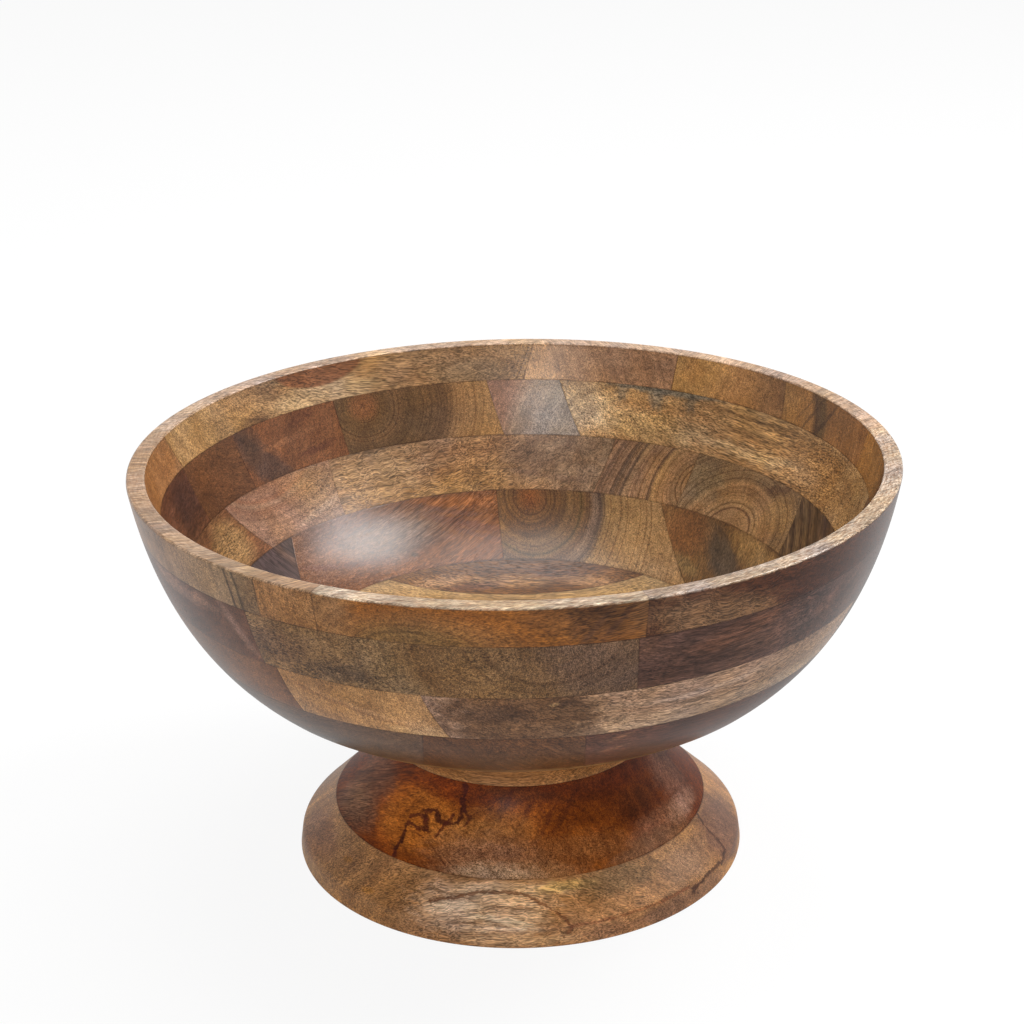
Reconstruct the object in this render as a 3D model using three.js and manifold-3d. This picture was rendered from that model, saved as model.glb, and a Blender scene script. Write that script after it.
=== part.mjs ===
// Footed wooden bowl: four courses of glued blocks and a board floor, turned to a bowl, on a turned foot.
// Millimetres, +Z up. The origin is the centre of the foot's underside, and the front faces -Y.
// Azimuths are degrees from the front, anticlockwise seen from above, so the right-hand side is at 90.
import * as THREE from 'three';
import { mergeVertices } from 'three/addons/utils/BufferGeometryUtils.js';
import Module from 'manifold-3d';

const wasm = await Module();
wasm.setup();

// Heights of the stacked layers, from the table up
const FOOT_BASE_HEIGHT = 21;
const FOOT_UPPER_HEIGHT = 28.5;
const NECK_HEIGHT = 14.5;
const FLOOR_COURSE_HEIGHT = 22;
const FOURTH_COURSE_HEIGHT = 22.5;
const THIRD_COURSE_HEIGHT = 21;
const SECOND_COURSE_HEIGHT = 22.5;
const RIM_COURSE_HEIGHT = 15.5;

// Bowl: each face is part of a superellipse, of which the share is the part that lies below the rim
const RIM_RADIUS = 150;
const RIM_WALL = 7.1;
const RIM_EASE = 1;
const OUTER_POWER = 2.86;
const OUTER_SHARE = 0.6;
const OUTER_DROP = 5.2;
const INNER_POWER = 3.26;
const INNER_SHARE = 0.284;
const FLOOR_THICKNESS = 8;
const LIMB_INSET = 8.5;
const LIMB_DROP = 7;

// Foot
const NECK_TOP_RADIUS = 64;
const NECK_WAIST_RADIUS = 54;
const NECK_COVE = 1.5;
const COVE_FOOT_RADIUS = 75.8;
const COVE_DEPTH = 1.6;
const COVE_TURN_HEIGHT = 18;
const FOOT_RADIUS = 91;
const FOOT_EDGE_HEIGHT = 7.5;
const FOOT_EDGE_LEAN = 1;
const FOOT_EDGE_ROUND = 1.8;

// Joints between the boards of the floor, as distances behind the axis
const FRONT_FLOOR_JOINT = -45;
const MIDDLE_FLOOR_JOINT = 20;
const BACK_FLOOR_JOINT = 66.7;

// Centre dowel
const DOWEL_RADIUS = 12;
const DOWEL_IN_FLOOR = 4;
const DOWEL_IN_FOOT = 20;
const DOWEL_CLEARANCE = 0.3;

// Glue gap at every joint between blocks of one course, and how finely round forms are stepped
const GLUE_GAP = 0.3;
const AROUND = 60;
const CURVE_STEPS = 3;
const CUT_MARGIN = 3;
const MERGE_DISTANCE = 1e-4;
const FULL_TURN = 360;
const FRONT_ANGLE = -90;

const NECK_BASE = FOOT_BASE_HEIGHT + FOOT_UPPER_HEIGHT;
const FLOOR_BASE = NECK_BASE + NECK_HEIGHT;
const FOURTH_BASE = FLOOR_BASE + FLOOR_COURSE_HEIGHT;
const THIRD_BASE = FOURTH_BASE + FOURTH_COURSE_HEIGHT;
const SECOND_BASE = THIRD_BASE + THIRD_COURSE_HEIGHT;
const RIM_BASE = SECOND_BASE + SECOND_COURSE_HEIGHT;
const RIM_TOP = RIM_BASE + RIM_COURSE_HEIGHT;

const WOOD = {
  blond: { color: 0xb98a5a, roughness: 0.5 },
  tan: { color: 0xa67a4b, roughness: 0.48 },
  honey: { color: 0xa0672f, roughness: 0.42 },
  russet: { color: 0x8c5836, roughness: 0.42 },
  brown: { color: 0x80593a, roughness: 0.42 },
  olive: { color: 0x7c6345, roughness: 0.45 },
  umber: { color: 0x6a4c33, roughness: 0.45 },
  plum: { color: 0x5f4438, roughness: 0.4 },
  amber: { color: 0x8a4a22, roughness: 0.4 },
  beech: { color: 0xc9a77c, roughness: 0.7 },
};

// Block joints: each entry is the joint where a block starts. It stands upright at an azimuth in the middle
// of the wall and is turned away from the radius by its skew.
const RIM_JOINTS = [
  { azimuth: -37, skew: 0, wood: 'russet' },
  { azimuth: -27.5, skew: 0, wood: 'honey' },
  { azimuth: 17, skew: 0, wood: 'brown' },
  { azimuth: 98, skew: 10, wood: 'olive' },
  { azimuth: 126, skew: 33, wood: 'honey' },
  { azimuth: 149, skew: -10, wood: 'russet' },
  { azimuth: 175.5, skew: -40, wood: 'tan' },
  { azimuth: 260, skew: 48, wood: 'blond' },
];
const SECOND_JOINTS = [
  { azimuth: -39.5, skew: -10, wood: 'umber' },
  { azimuth: 17, skew: -15, wood: 'plum' },
  { azimuth: 84, skew: 0, wood: 'tan' },
  { azimuth: 171.5, skew: 45, wood: 'brown' },
  { azimuth: 185, skew: 33, wood: 'olive' },
  { azimuth: 215, skew: 7, wood: 'russet' },
  { azimuth: 239.5, skew: 7, wood: 'brown' },
  { azimuth: 257, skew: 0, wood: 'plum' },
];
const THIRD_JOINTS = [
  { azimuth: -36.5, skew: -10, wood: 'blond' },
  { azimuth: -10.5, skew: -36, wood: 'brown' },
  { azimuth: 62, skew: 15, wood: 'umber' },
  { azimuth: 110.5, skew: 26, wood: 'tan' },
  { azimuth: 140.5, skew: -10, wood: 'olive' },
  { azimuth: 159, skew: -23, wood: 'brown' },
  { azimuth: 219.5, skew: -8, wood: 'russet' },
  { azimuth: 250.5, skew: 41, wood: 'tan' },
];
const FOURTH_JOINTS = [
  { azimuth: -18, skew: 20, wood: 'brown' },
  { azimuth: 12, skew: -12, wood: 'umber' },
  { azimuth: 78, skew: 0, wood: 'umber' },
  { azimuth: 144.5, skew: 46, wood: 'olive' },
  { azimuth: 184, skew: 2, wood: 'russet' },
  { azimuth: 238, skew: -42, wood: 'plum' },
  { azimuth: 300, skew: 0, wood: 'brown' },
];
// Floor boards run from side to side: each entry is the joint in front of a board
const FLOOR_BOARDS = [
  { edge: -Infinity, wood: 'tan' },
  { edge: FRONT_FLOOR_JOINT, wood: 'blond' },
  { edge: MIDDLE_FLOOR_JOINT, wood: 'tan' },
  { edge: BACK_FLOOR_JOINT, wood: 'brown' },
];

// Share of the full width that a superellipse face has at a height, where 0 is its lowest point and 1 the rim
function fullness(height, share, power) {
  const wide = (level) => (1 - (1 - level * share) ** power) ** (1 / power);
  return wide(height) / wide(1);
}

function outerRadius(z) {
  const bottom = FLOOR_BASE - OUTER_DROP;
  return RIM_RADIUS * fullness((z - bottom) / (RIM_TOP - bottom), OUTER_SHARE, OUTER_POWER);
}

function innerRadius(z) {
  const bottom = FLOOR_BASE + FLOOR_THICKNESS;
  return (RIM_RADIUS - RIM_WALL) * fullness((z - bottom) / (RIM_TOP - bottom), INNER_SHARE, INNER_POWER);
}

// Points of a face between two heights, in order from the first height to the second
function facePoints(radiusAt, from, to, steps = CURVE_STEPS) {
  return Array.from({ length: steps + 1 }, (_, i) => {
    const z = from + ((to - from) * i) / steps;
    return new THREE.Vector2(radiusAt(z), z);
  });
}

// A solid from a closed geometry
function solid(geometry) {
  const bare = geometry.clone();
  bare.deleteAttribute('normal');
  bare.deleteAttribute('uv');
  const merged = mergeVertices(bare, MERGE_DISTANCE);
  const vertProperties = new Float32Array(merged.attributes.position.array);
  const triVerts = new Uint32Array(merged.index.array);
  return new wasm.Manifold(new wasm.Mesh({ numProp: 3, vertProperties, triVerts }));
}

// The geometry of a solid, with flat faces
function geometryOf(body) {
  const { vertProperties, triVerts } = body.getMesh();
  const geometry = new THREE.BufferGeometry();
  geometry.setAttribute('position', new THREE.BufferAttribute(vertProperties, 3));
  geometry.setIndex(new THREE.BufferAttribute(triVerts, 1));
  geometry.computeVertexNormals();
  return geometry;
}

// A solid turned about the Z axis from an outline of radius and height, run anticlockwise
function turned(outline) {
  return solid(new THREE.LatheGeometry(outline, AROUND).rotateX(Math.PI / 2));
}

// An upright prism over a plan outline, from one height to another
function prism(plan, from, to) {
  const settings = { depth: to - from, bevelEnabled: false };
  const geometry = new THREE.ExtrudeGeometry(new THREE.Shape(plan), settings);
  return solid(geometry.translate(0, 0, from));
}

// Points of an outline from pairs of numbers
function outlinePoints(pairs) {
  return pairs.map(([x, y]) => new THREE.Vector2(x, y));
}

function polar(radius, azimuth) {
  const angle = THREE.MathUtils.degToRad(azimuth + FRONT_ANGLE);
  return new THREE.Vector2(radius * Math.cos(angle), radius * Math.sin(angle));
}

// Where a joint, moved sideways by a shift, crosses a circle: its azimuth there
function jointAzimuth({ azimuth, skew }, wallRadius, shift, radius) {
  const turn = THREE.MathUtils.degToRad(skew);
  const offset = wallRadius * Math.sin(turn) - shift;
  return azimuth + skew - THREE.MathUtils.radToDeg(Math.asin(offset / radius));
}

// Points along a circle from one azimuth to another
function arcPoints(radius, from, to) {
  const steps = Math.ceil((Math.abs(to - from) / FULL_TURN) * AROUND);
  return Array.from({ length: steps + 1 }, (_, i) => polar(radius, from + ((to - from) * i) / steps));
}

// Plan of one block: between its own joint and the next, past both faces of the wall
function blockPlan(start, end, course) {
  const inside = course.inside - CUT_MARGIN;
  const outside = course.outside + CUT_MARGIN;
  const at = (joint, shift, radius) => jointAzimuth(joint, course.middle, shift, radius);
  return [
    ...arcPoints(outside, at(start, GLUE_GAP / 2, outside), at(end, -GLUE_GAP / 2, outside)),
    ...arcPoints(inside, at(end, -GLUE_GAP / 2, inside), at(start, GLUE_GAP / 2, inside)),
  ];
}

function mesh(name, body, wood) {
  const material = new THREE.MeshStandardMaterial({ ...WOOD[wood], metalness: 0 });
  const part = new THREE.Mesh(geometryOf(body), material);
  part.name = name;
  return part;
}

// Outline of a course of the wall, in its own heights from 0
function courseOutline(base, height) {
  const outer = facePoints((z) => outerRadius(base + z), 0, height);
  const inner = facePoints((z) => innerRadius(base + z), height, 0);
  return [...outer, ...inner, outer[0].clone()];
}

// The rim course has its two top edges eased
function rimOutline(base, height) {
  const shoulder = height - RIM_EASE;
  const outer = facePoints((z) => outerRadius(base + z), 0, shoulder);
  const inner = facePoints((z) => innerRadius(base + z), shoulder, 0);
  const top = [
    new THREE.Vector2(outerRadius(base + height) - RIM_EASE, height),
    new THREE.Vector2(innerRadius(base + height) + RIM_EASE, height),
  ];
  return [...outer, ...top, ...inner, outer[0].clone()];
}

// A course of the wall as a group of blocks at its height
function wallCourse(name, base, height, joints, outline) {
  const group = new THREE.Group();
  group.position.z = base;
  const ring = turned(outline(base, height));
  const course = {
    inside: innerRadius(base),
    outside: outerRadius(base + height),
    middle: (innerRadius(base + height / 2) + outerRadius(base + height / 2)) / 2,
  };
  joints.forEach((start, i) => {
    const next = joints[(i + 1) % joints.length];
    const end = i + 1 < joints.length ? next : { ...next, azimuth: next.azimuth + FULL_TURN };
    const cut = prism(blockPlan(start, end, course), -CUT_MARGIN, height + CUT_MARGIN);
    group.add(mesh(`${name}_block_${i + 1}`, ring.intersect(cut), start.wood));
  });
  return group;
}

// The hole for the centre dowel, between two heights
function dowelHole(from, to) {
  return prism(arcPoints(DOWEL_RADIUS + DOWEL_CLEARANCE, 0, FULL_TURN).slice(1), from, to);
}

// The floor course: its underside curves in to the neck, its upper face is the bottom of the bowl
function floorCourse() {
  const group = new THREE.Group();
  group.position.z = FLOOR_BASE;
  const edge = outerRadius(FOURTH_BASE);
  const underside = new THREE.QuadraticBezierCurve(
    new THREE.Vector2(NECK_TOP_RADIUS, 0),
    new THREE.Vector2(edge - LIMB_INSET, FLOOR_COURSE_HEIGHT - LIMB_DROP),
    new THREE.Vector2(edge, FLOOR_COURSE_HEIGHT),
  );
  const hollowRadius = (z) => innerRadius(FLOOR_BASE + z);
  const hollow = facePoints(hollowRadius, FLOOR_COURSE_HEIGHT, FLOOR_THICKNESS, 2 * CURVE_STEPS);
  const outline = [new THREE.Vector2(0, 0), ...underside.getPoints(2 * CURVE_STEPS), ...hollow];
  const disc = turned(outline).subtract(dowelHole(-CUT_MARGIN, DOWEL_IN_FLOOR + DOWEL_CLEARANCE));
  const reach = edge + CUT_MARGIN;
  FLOOR_BOARDS.forEach(({ edge: front, wood }, i) => {
    const back = i + 1 < FLOOR_BOARDS.length ? FLOOR_BOARDS[i + 1].edge : Infinity;
    const near = Math.max(front + GLUE_GAP / 2, -reach);
    const far = Math.min(back - GLUE_GAP / 2, reach);
    const plan = outlinePoints([[-reach, near], [reach, near], [reach, far], [-reach, far]]);
    const cut = prism(plan, -CUT_MARGIN, FLOOR_COURSE_HEIGHT + CUT_MARGIN);
    group.add(mesh(`floor_board_${i + 1}`, disc.intersect(cut), wood));
  });
  return group;
}

// The neck collar: a cove that widens to the underside of the floor course, bored for the dowel
function neckCollar() {
  const cove = new THREE.QuadraticBezierCurve(
    new THREE.Vector2(NECK_WAIST_RADIUS, 0),
    new THREE.Vector2(NECK_WAIST_RADIUS + NECK_COVE, NECK_HEIGHT / 2),
    new THREE.Vector2(NECK_TOP_RADIUS, NECK_HEIGHT),
  );
  const outline = [
    new THREE.Vector2(0, 0),
    ...cove.getPoints(CURVE_STEPS),
    new THREE.Vector2(0, NECK_HEIGHT),
  ];
  const body = turned(outline).subtract(dowelHole(-CUT_MARGIN, NECK_HEIGHT + CUT_MARGIN));
  const part = mesh('neck_collar', body, 'blond');
  part.position.z = NECK_BASE;
  return part;
}

// The foot's upper block: a cove from the sloping base up to the neck, with a blind hole for the dowel
function footUpper() {
  const cove = new THREE.QuadraticBezierCurve(
    new THREE.Vector2(COVE_FOOT_RADIUS, 0),
    new THREE.Vector2(NECK_WAIST_RADIUS + COVE_DEPTH, COVE_TURN_HEIGHT),
    new THREE.Vector2(NECK_WAIST_RADIUS, FOOT_UPPER_HEIGHT),
  );
  const outline = [
    new THREE.Vector2(0, 0),
    ...cove.getPoints(2 * CURVE_STEPS),
    new THREE.Vector2(0, FOOT_UPPER_HEIGHT),
  ];
  const holeFloor = FOOT_UPPER_HEIGHT - DOWEL_IN_FOOT - DOWEL_CLEARANCE;
  const body = turned(outline).subtract(dowelHole(holeFloor, FOOT_UPPER_HEIGHT + CUT_MARGIN));
  const part = mesh('foot_upper_block', body, 'amber');
  part.position.z = FOOT_BASE_HEIGHT;
  return part;
}

// The foot's base block: a short leaning edge, a rounded arris and a sloping top face
function footBase() {
  const arris = new THREE.Vector2(FOOT_RADIUS - FOOT_EDGE_LEAN, FOOT_EDGE_HEIGHT);
  const edgeFoot = new THREE.Vector2(FOOT_RADIUS, 0);
  const slopeTop = new THREE.Vector2(COVE_FOOT_RADIUS, FOOT_BASE_HEIGHT);
  const towards = (point) => point.clone().sub(arris).setLength(FOOT_EDGE_ROUND).add(arris);
  const round = new THREE.QuadraticBezierCurve(towards(edgeFoot), arris, towards(slopeTop));
  const outline = [
    new THREE.Vector2(0, 0),
    edgeFoot,
    ...round.getPoints(CURVE_STEPS),
    slopeTop,
    new THREE.Vector2(0, FOOT_BASE_HEIGHT),
  ];
  return mesh('foot_base_block', turned(outline), 'tan');
}

// The dowel on the axis, from the foot's upper block through the neck into the floor
function centreDowel() {
  const length = DOWEL_IN_FOOT + NECK_HEIGHT + DOWEL_IN_FLOOR;
  const outline = outlinePoints([[0, 0], [DOWEL_RADIUS, 0], [DOWEL_RADIUS, length], [0, length]]);
  const part = mesh('centre_dowel', turned(outline), 'beech');
  part.position.z = NECK_BASE - DOWEL_IN_FOOT;
  return part;
}

const bowl = new THREE.Group();
bowl.add(footBase());
bowl.add(footUpper());
bowl.add(neckCollar());
bowl.add(centreDowel());
bowl.add(floorCourse());
bowl.add(wallCourse('fourth_course', FOURTH_BASE, FOURTH_COURSE_HEIGHT, FOURTH_JOINTS, courseOutline));
bowl.add(wallCourse('third_course', THIRD_BASE, THIRD_COURSE_HEIGHT, THIRD_JOINTS, courseOutline));
bowl.add(wallCourse('second_course', SECOND_BASE, SECOND_COURSE_HEIGHT, SECOND_JOINTS, courseOutline));
bowl.add(wallCourse('rim_course', RIM_BASE, RIM_COURSE_HEIGHT, RIM_JOINTS, rimOutline));

export default bowl;
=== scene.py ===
"""Looks of a footed wooden bowl.

The bowl is glued up from a floor of boards and four courses of hardwood blocks, turned smooth inside and
out. It stands on a neck collar and a turned foot of two blocks. Lengths here are millimetres, and azimuths
are degrees from the front, anticlockwise seen from above. The meshes are made in metres.
"""

import logging
import math
from collections.abc import Callable, Mapping, Sequence
from dataclasses import dataclass
from enum import Enum

import bmesh
import bpy
from bpy.types import Node, NodeSocket, NodeTree
from mathutils import Matrix, Vector


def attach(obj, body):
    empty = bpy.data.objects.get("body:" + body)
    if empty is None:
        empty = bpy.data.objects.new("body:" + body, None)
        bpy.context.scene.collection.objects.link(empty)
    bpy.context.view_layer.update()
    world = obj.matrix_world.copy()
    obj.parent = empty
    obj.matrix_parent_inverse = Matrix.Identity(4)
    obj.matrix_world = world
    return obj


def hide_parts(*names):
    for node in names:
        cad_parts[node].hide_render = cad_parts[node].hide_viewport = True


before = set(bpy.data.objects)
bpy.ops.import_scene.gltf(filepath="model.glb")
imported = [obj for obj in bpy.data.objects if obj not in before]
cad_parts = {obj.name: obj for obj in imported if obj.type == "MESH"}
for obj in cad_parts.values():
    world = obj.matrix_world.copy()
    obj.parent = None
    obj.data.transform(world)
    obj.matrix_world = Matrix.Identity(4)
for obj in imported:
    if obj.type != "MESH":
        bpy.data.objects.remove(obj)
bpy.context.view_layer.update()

LOG = logging.getLogger("footed_bowl")

Value = float | Sequence[float] | NodeSocket
Sockets = Mapping[str, NodeSocket]
Azimuths = Callable[[float], Sequence[float]]
Row = list[bmesh.types.BMVert]

MM = 0.001
PER_METRE = 1000.0
FULL_TURN = 360.0
FAR = 9999.0
BACK = Vector((0, 1, 0))
WHITE = (1.0, 1.0, 1.0, 1.0)

FOOT_JOINT = 21.0
NECK_BASE = 49.5
FLOOR_BASE = 64.0
FOURTH_BASE = 86.0
THIRD_BASE = 108.5
SECOND_BASE = 129.5
RIM_BASE = 152.0
RIM_TOP = 167.5


# Directions and colours


def outward(azimuth: float) -> Vector:
    """Level direction from the axis towards an azimuth."""
    angle = math.radians(azimuth)
    return Vector((math.sin(angle), -math.cos(angle), 0.0))


def sideways(azimuth: float) -> Vector:
    """Level direction along the wall at an azimuth, anticlockwise seen from above."""
    angle = math.radians(azimuth)
    return Vector((math.cos(angle), math.sin(angle), 0.0))


def linear(share: float) -> float:
    """Linear light of a share from 0 to 1 as a hex code gives it."""
    return share / 12.92 if share <= 0.04045 else ((share + 0.055) / 1.055) ** 2.4


def paint(code: str) -> tuple[float, float, float, float]:
    """Linear colour of a hex code, as a colour socket takes it."""
    red, green, blue = (linear(int(code[i : i + 2], 16) / 255) for i in (1, 3, 5))
    return (red, green, blue, 1.0)


def mixed(one: float, other: float, share: float) -> float:
    """Value a share of the way from one to the other."""
    return one + (other - one) * share


# Faces that the lathe leaves


@dataclass(frozen=True)
class BowlFace:
    """Face of the bowl: part of a superellipse that widens from its lowest level to the rim."""

    rim_radius: float
    bottom: float
    share: float
    power: float
    side: float

    def _wide(self, level: float) -> float:
        """Width of the superellipse at a level from 0 at the bottom to 1 at the rim."""
        return (1 - (1 - level * self.share) ** self.power) ** (1 / self.power)

    def _level(self, height: float) -> float:
        """Level of a height."""
        return (height - self.bottom) / (RIM_TOP - self.bottom)

    def radius(self, height: float) -> float:
        """Radius of the face at a height."""
        return self.rim_radius * self._wide(self._level(height)) / self._wide(1.0)

    def height(self, radius: float) -> float:
        """Height of the face at a radius.

        Args:
            radius: Distance from the axis.

        Returns:
            The height.
        """
        wide = radius / self.rim_radius * self._wide(1.0)
        level = (1 - (1 - wide**self.power) ** (1 / self.power)) / self.share
        return self.bottom + level * (RIM_TOP - self.bottom)

    def slope(self, height: float) -> tuple[float, float]:
        """Radial and upward parts of the face's normal at a height.

        Args:
            height: The height.

        Returns:
            The radial part and the upward part.
        """
        level = self._level(height)
        out = self._wide(level) ** (self.power - 1) * self._wide(1.0) / self.rim_radius
        drop = (1 - level * self.share) ** (self.power - 1) * self.share / (RIM_TOP - self.bottom)
        length = math.hypot(out, drop) * self.side
        return out / length, -drop / length


OUTER = BowlFace(rim_radius=150.0, bottom=58.8, share=0.6, power=2.86, side=1.0)
INNER = BowlFace(rim_radius=142.9, bottom=72.0, share=0.284, power=3.26, side=-1.0)


@dataclass(frozen=True)
class Cove:
    """Turned curve between two points of an outline, pulled towards a third."""

    start: tuple[float, float]
    pull: tuple[float, float]
    end: tuple[float, float]

    HALVINGS = 30

    def point(self, share: float) -> tuple[float, float]:
        """Radius and height at a share of the curve.

        Args:
            share: From 0 at the start to 1 at the end.

        Returns:
            The radius and the height.
        """
        rest = 1 - share
        parts = zip(self.start, self.pull, self.end)
        radius, height = (rest * rest * a + 2 * share * rest * b + share * share * c for a, b, c in parts)
        return radius, height

    def slope(self, share: float) -> tuple[float, float]:
        """Radial and upward parts of the outward normal at a share of the curve that runs upwards.

        Args:
            share: From 0 at the start to 1 at the end.

        Returns:
            The radial part and the upward part.
        """
        parts = zip(self.start, self.pull, self.end)
        along, up = ((1 - share) * (b - a) + share * (c - b) for a, b, c in parts)
        length = math.hypot(along, up)
        return up / length, -along / length

    def radius(self, height: float) -> float:
        """Radius at a height, found by halving.

        Args:
            height: The height.

        Returns:
            The radius.
        """
        low, high = 0.0, 1.0
        for _ in range(self.HALVINGS):
            middle = (low + high) / 2
            if self.point(middle)[1] < height:
                low = middle
            else:
                high = middle
        return self.point(low)[0]


@dataclass(frozen=True)
class RimStation:
    """Point of an outline with the normal of the face there."""

    radius: float
    height: float
    out: float
    up: float


Run = list[RimStation]


def bowl_run(face: BowlFace, low: float, high: float, steps: int) -> Run:
    """Stations on a face of the bowl.

    Args:
        face: The outer or the inner face.
        low: Height of the first station.
        high: Height of the last station.
        steps: How many steps lie between them.

    Returns:
        The stations in order.
    """
    heights = [mixed(low, high, i / steps) for i in range(steps + 1)]
    return [RimStation(face.radius(z), z, *face.slope(z)) for z in heights]


def hollow_run(face: BowlFace, radius: float, steps: int) -> Run:
    """Stations across the bottom of the bowl, from a radius in to the axis."""
    radii = [radius * (1 - i / steps) for i in range(steps + 1)]
    return [RimStation(r, face.height(r), *face.slope(face.height(r))) for r in radii]


def cove_run(cove: Cove, steps: int) -> Run:
    """Stations along a cove, from its start to its end."""
    shares = [i / steps for i in range(steps + 1)]
    return [RimStation(*cove.point(share), *cove.slope(share)) for share in shares]


def flat_run(start: tuple[float, float], end: tuple[float, float], steps: int = 1) -> Run:
    """Stations along a straight stretch of an outline, with its outward normal on the right-hand side.

    Args:
        start: Radius and height where it starts.
        end: Radius and height where it ends.
        steps: How many steps lie between them.

    Returns:
        The stations in order.
    """
    along, up = end[0] - start[0], end[1] - start[1]
    length = math.hypot(along, up)
    shares = [i / steps for i in range(steps + 1)]
    points = [(mixed(start[0], end[0], t), mixed(start[1], end[1], t)) for t in shares]
    return [RimStation(r, z, up / length, -along / length) for r, z in points]


# Meshes


class TurnedMesh:
    """Mesh of one turned piece, with the true normal of the turned face at each corner."""

    NORMAL_LAYER = "turned_normal"
    WELD = 1e-7

    def __init__(self) -> None:
        """Start an empty mesh."""
        self.form = bmesh.new()
        self.normals = self.form.loops.layers.float_vector.new(self.NORMAL_LAYER)

    def sweep(self, runs: Sequence[Run], azimuths: Azimuths) -> list[Row]:
        """Turn runs of an outline about the axis.

        Args:
            runs: Runs of the closed outline, each one smooth, in order and with shared ends.
            azimuths: Gives the azimuths of the vertices at a radius.

        Returns:
            The rows of vertices, one for each station and with the shared ends once.
        """
        rows: list[Row] = []
        last = None
        for run in runs:
            for i, station in enumerate(run):
                if i or last is None:
                    around = azimuths(station.radius)
                    points = [outward(a) * station.radius + Vector((0, 0, station.height)) for a in around]
                    rows.append([self.form.verts.new(point * MM) for point in points])
                if i:
                    self._strip(rows[-2], rows[-1], last, station, azimuths)
                last = station
        return rows

    def _strip(
        self,
        one: Row,
        other: Row,
        start: RimStation,
        end: RimStation,
        azimuths: Azimuths,
    ) -> None:
        """Close the faces between two rows of vertices.

        Args:
            one: Vertices of the first row.
            other: Vertices of the next row.
            start: Station of the first row.
            end: Station of the next row.
            azimuths: Gives the azimuths of the vertices at a radius.
        """
        near, far = azimuths(start.radius), azimuths(end.radius)
        for i in range(len(one) - 1):
            corners = [
                (one[i], self._normal(start, near[i])),
                (one[i + 1], self._normal(start, near[i + 1])),
                (other[i + 1], self._normal(end, far[i + 1])),
                (other[i], self._normal(end, far[i])),
            ]
            face = self.form.faces.new([vert for vert, _ in corners])
            for loop, (_, normal) in zip(face.loops, corners):
                loop[self.normals] = normal

    def _normal(self, station: RimStation, azimuth: float) -> Vector:
        """Normal of the turned face at a station and azimuth."""
        return outward(azimuth) * station.out + Vector((0, 0, station.up))

    def cap(self, corners: Sequence[bmesh.types.BMVert]) -> None:
        """Close a flat face over some vertices."""
        self._flatten(self.form.faces.new(corners))

    def _flatten(self, face: bmesh.types.BMFace) -> None:
        """Give a face its own flat normal at every corner.

        Args:
            face: The face.
        """
        face.normal_update()
        for loop in face.loops:
            loop[self.normals] = face.normal

    def weld(self) -> None:
        """Join vertices that lie at the same place."""
        bmesh.ops.remove_doubles(self.form, verts=self.form.verts, dist=self.WELD)

    def slice(self, place: float, keep_behind: bool) -> None:
        """Cut the mesh along an upright plane that runs from side to side, and close the cut.

        Args:
            place: Distance of the plane behind the axis.
            keep_behind: Whether the part behind the plane stays.
        """
        self.weld()
        before = set(self.form.faces)
        cut = bmesh.ops.bisect_plane(
            self.form,
            geom=[*self.form.verts, *self.form.edges, *self.form.faces],
            plane_co=(0, place * MM, 0),
            plane_no=(0, 1, 0),
            clear_inner=keep_behind,
            clear_outer=not keep_behind,
        )
        edges = [piece for piece in cut["geom_cut"] if isinstance(piece, bmesh.types.BMEdge)]
        closed = bmesh.ops.triangle_fill(self.form, edges=edges, use_beauty=True, normal=(0, 1, 0))
        for face in closed["geom"]:
            if isinstance(face, bmesh.types.BMFace) and face not in before:
                face.normal_update()
                if (face.normal.y < 0) != keep_behind:
                    face.normal_flip()
                self._flatten(face)

    def object(self, name: str) -> bpy.types.Object:
        """Turn the mesh into an object of the scene.

        Args:
            name: Name of the piece.

        Returns:
            The new object, which sits at the origin.
        """
        self.weld()
        bmesh.ops.recalc_face_normals(self.form, faces=self.form.faces)
        for face in self.form.faces:
            face.smooth = True
        mesh = bpy.data.meshes.new(name)
        self.form.to_mesh(mesh)
        self.form.free()
        layer = mesh.attributes[self.NORMAL_LAYER]
        normals = [item.vector.normalized() for item in layer.data]
        mesh.attributes.remove(layer)
        mesh.normals_split_custom_set(normals)
        piece = bpy.data.objects.new(name, mesh)
        bpy.context.scene.collection.objects.link(piece)
        return piece


# Shader nodes


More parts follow.
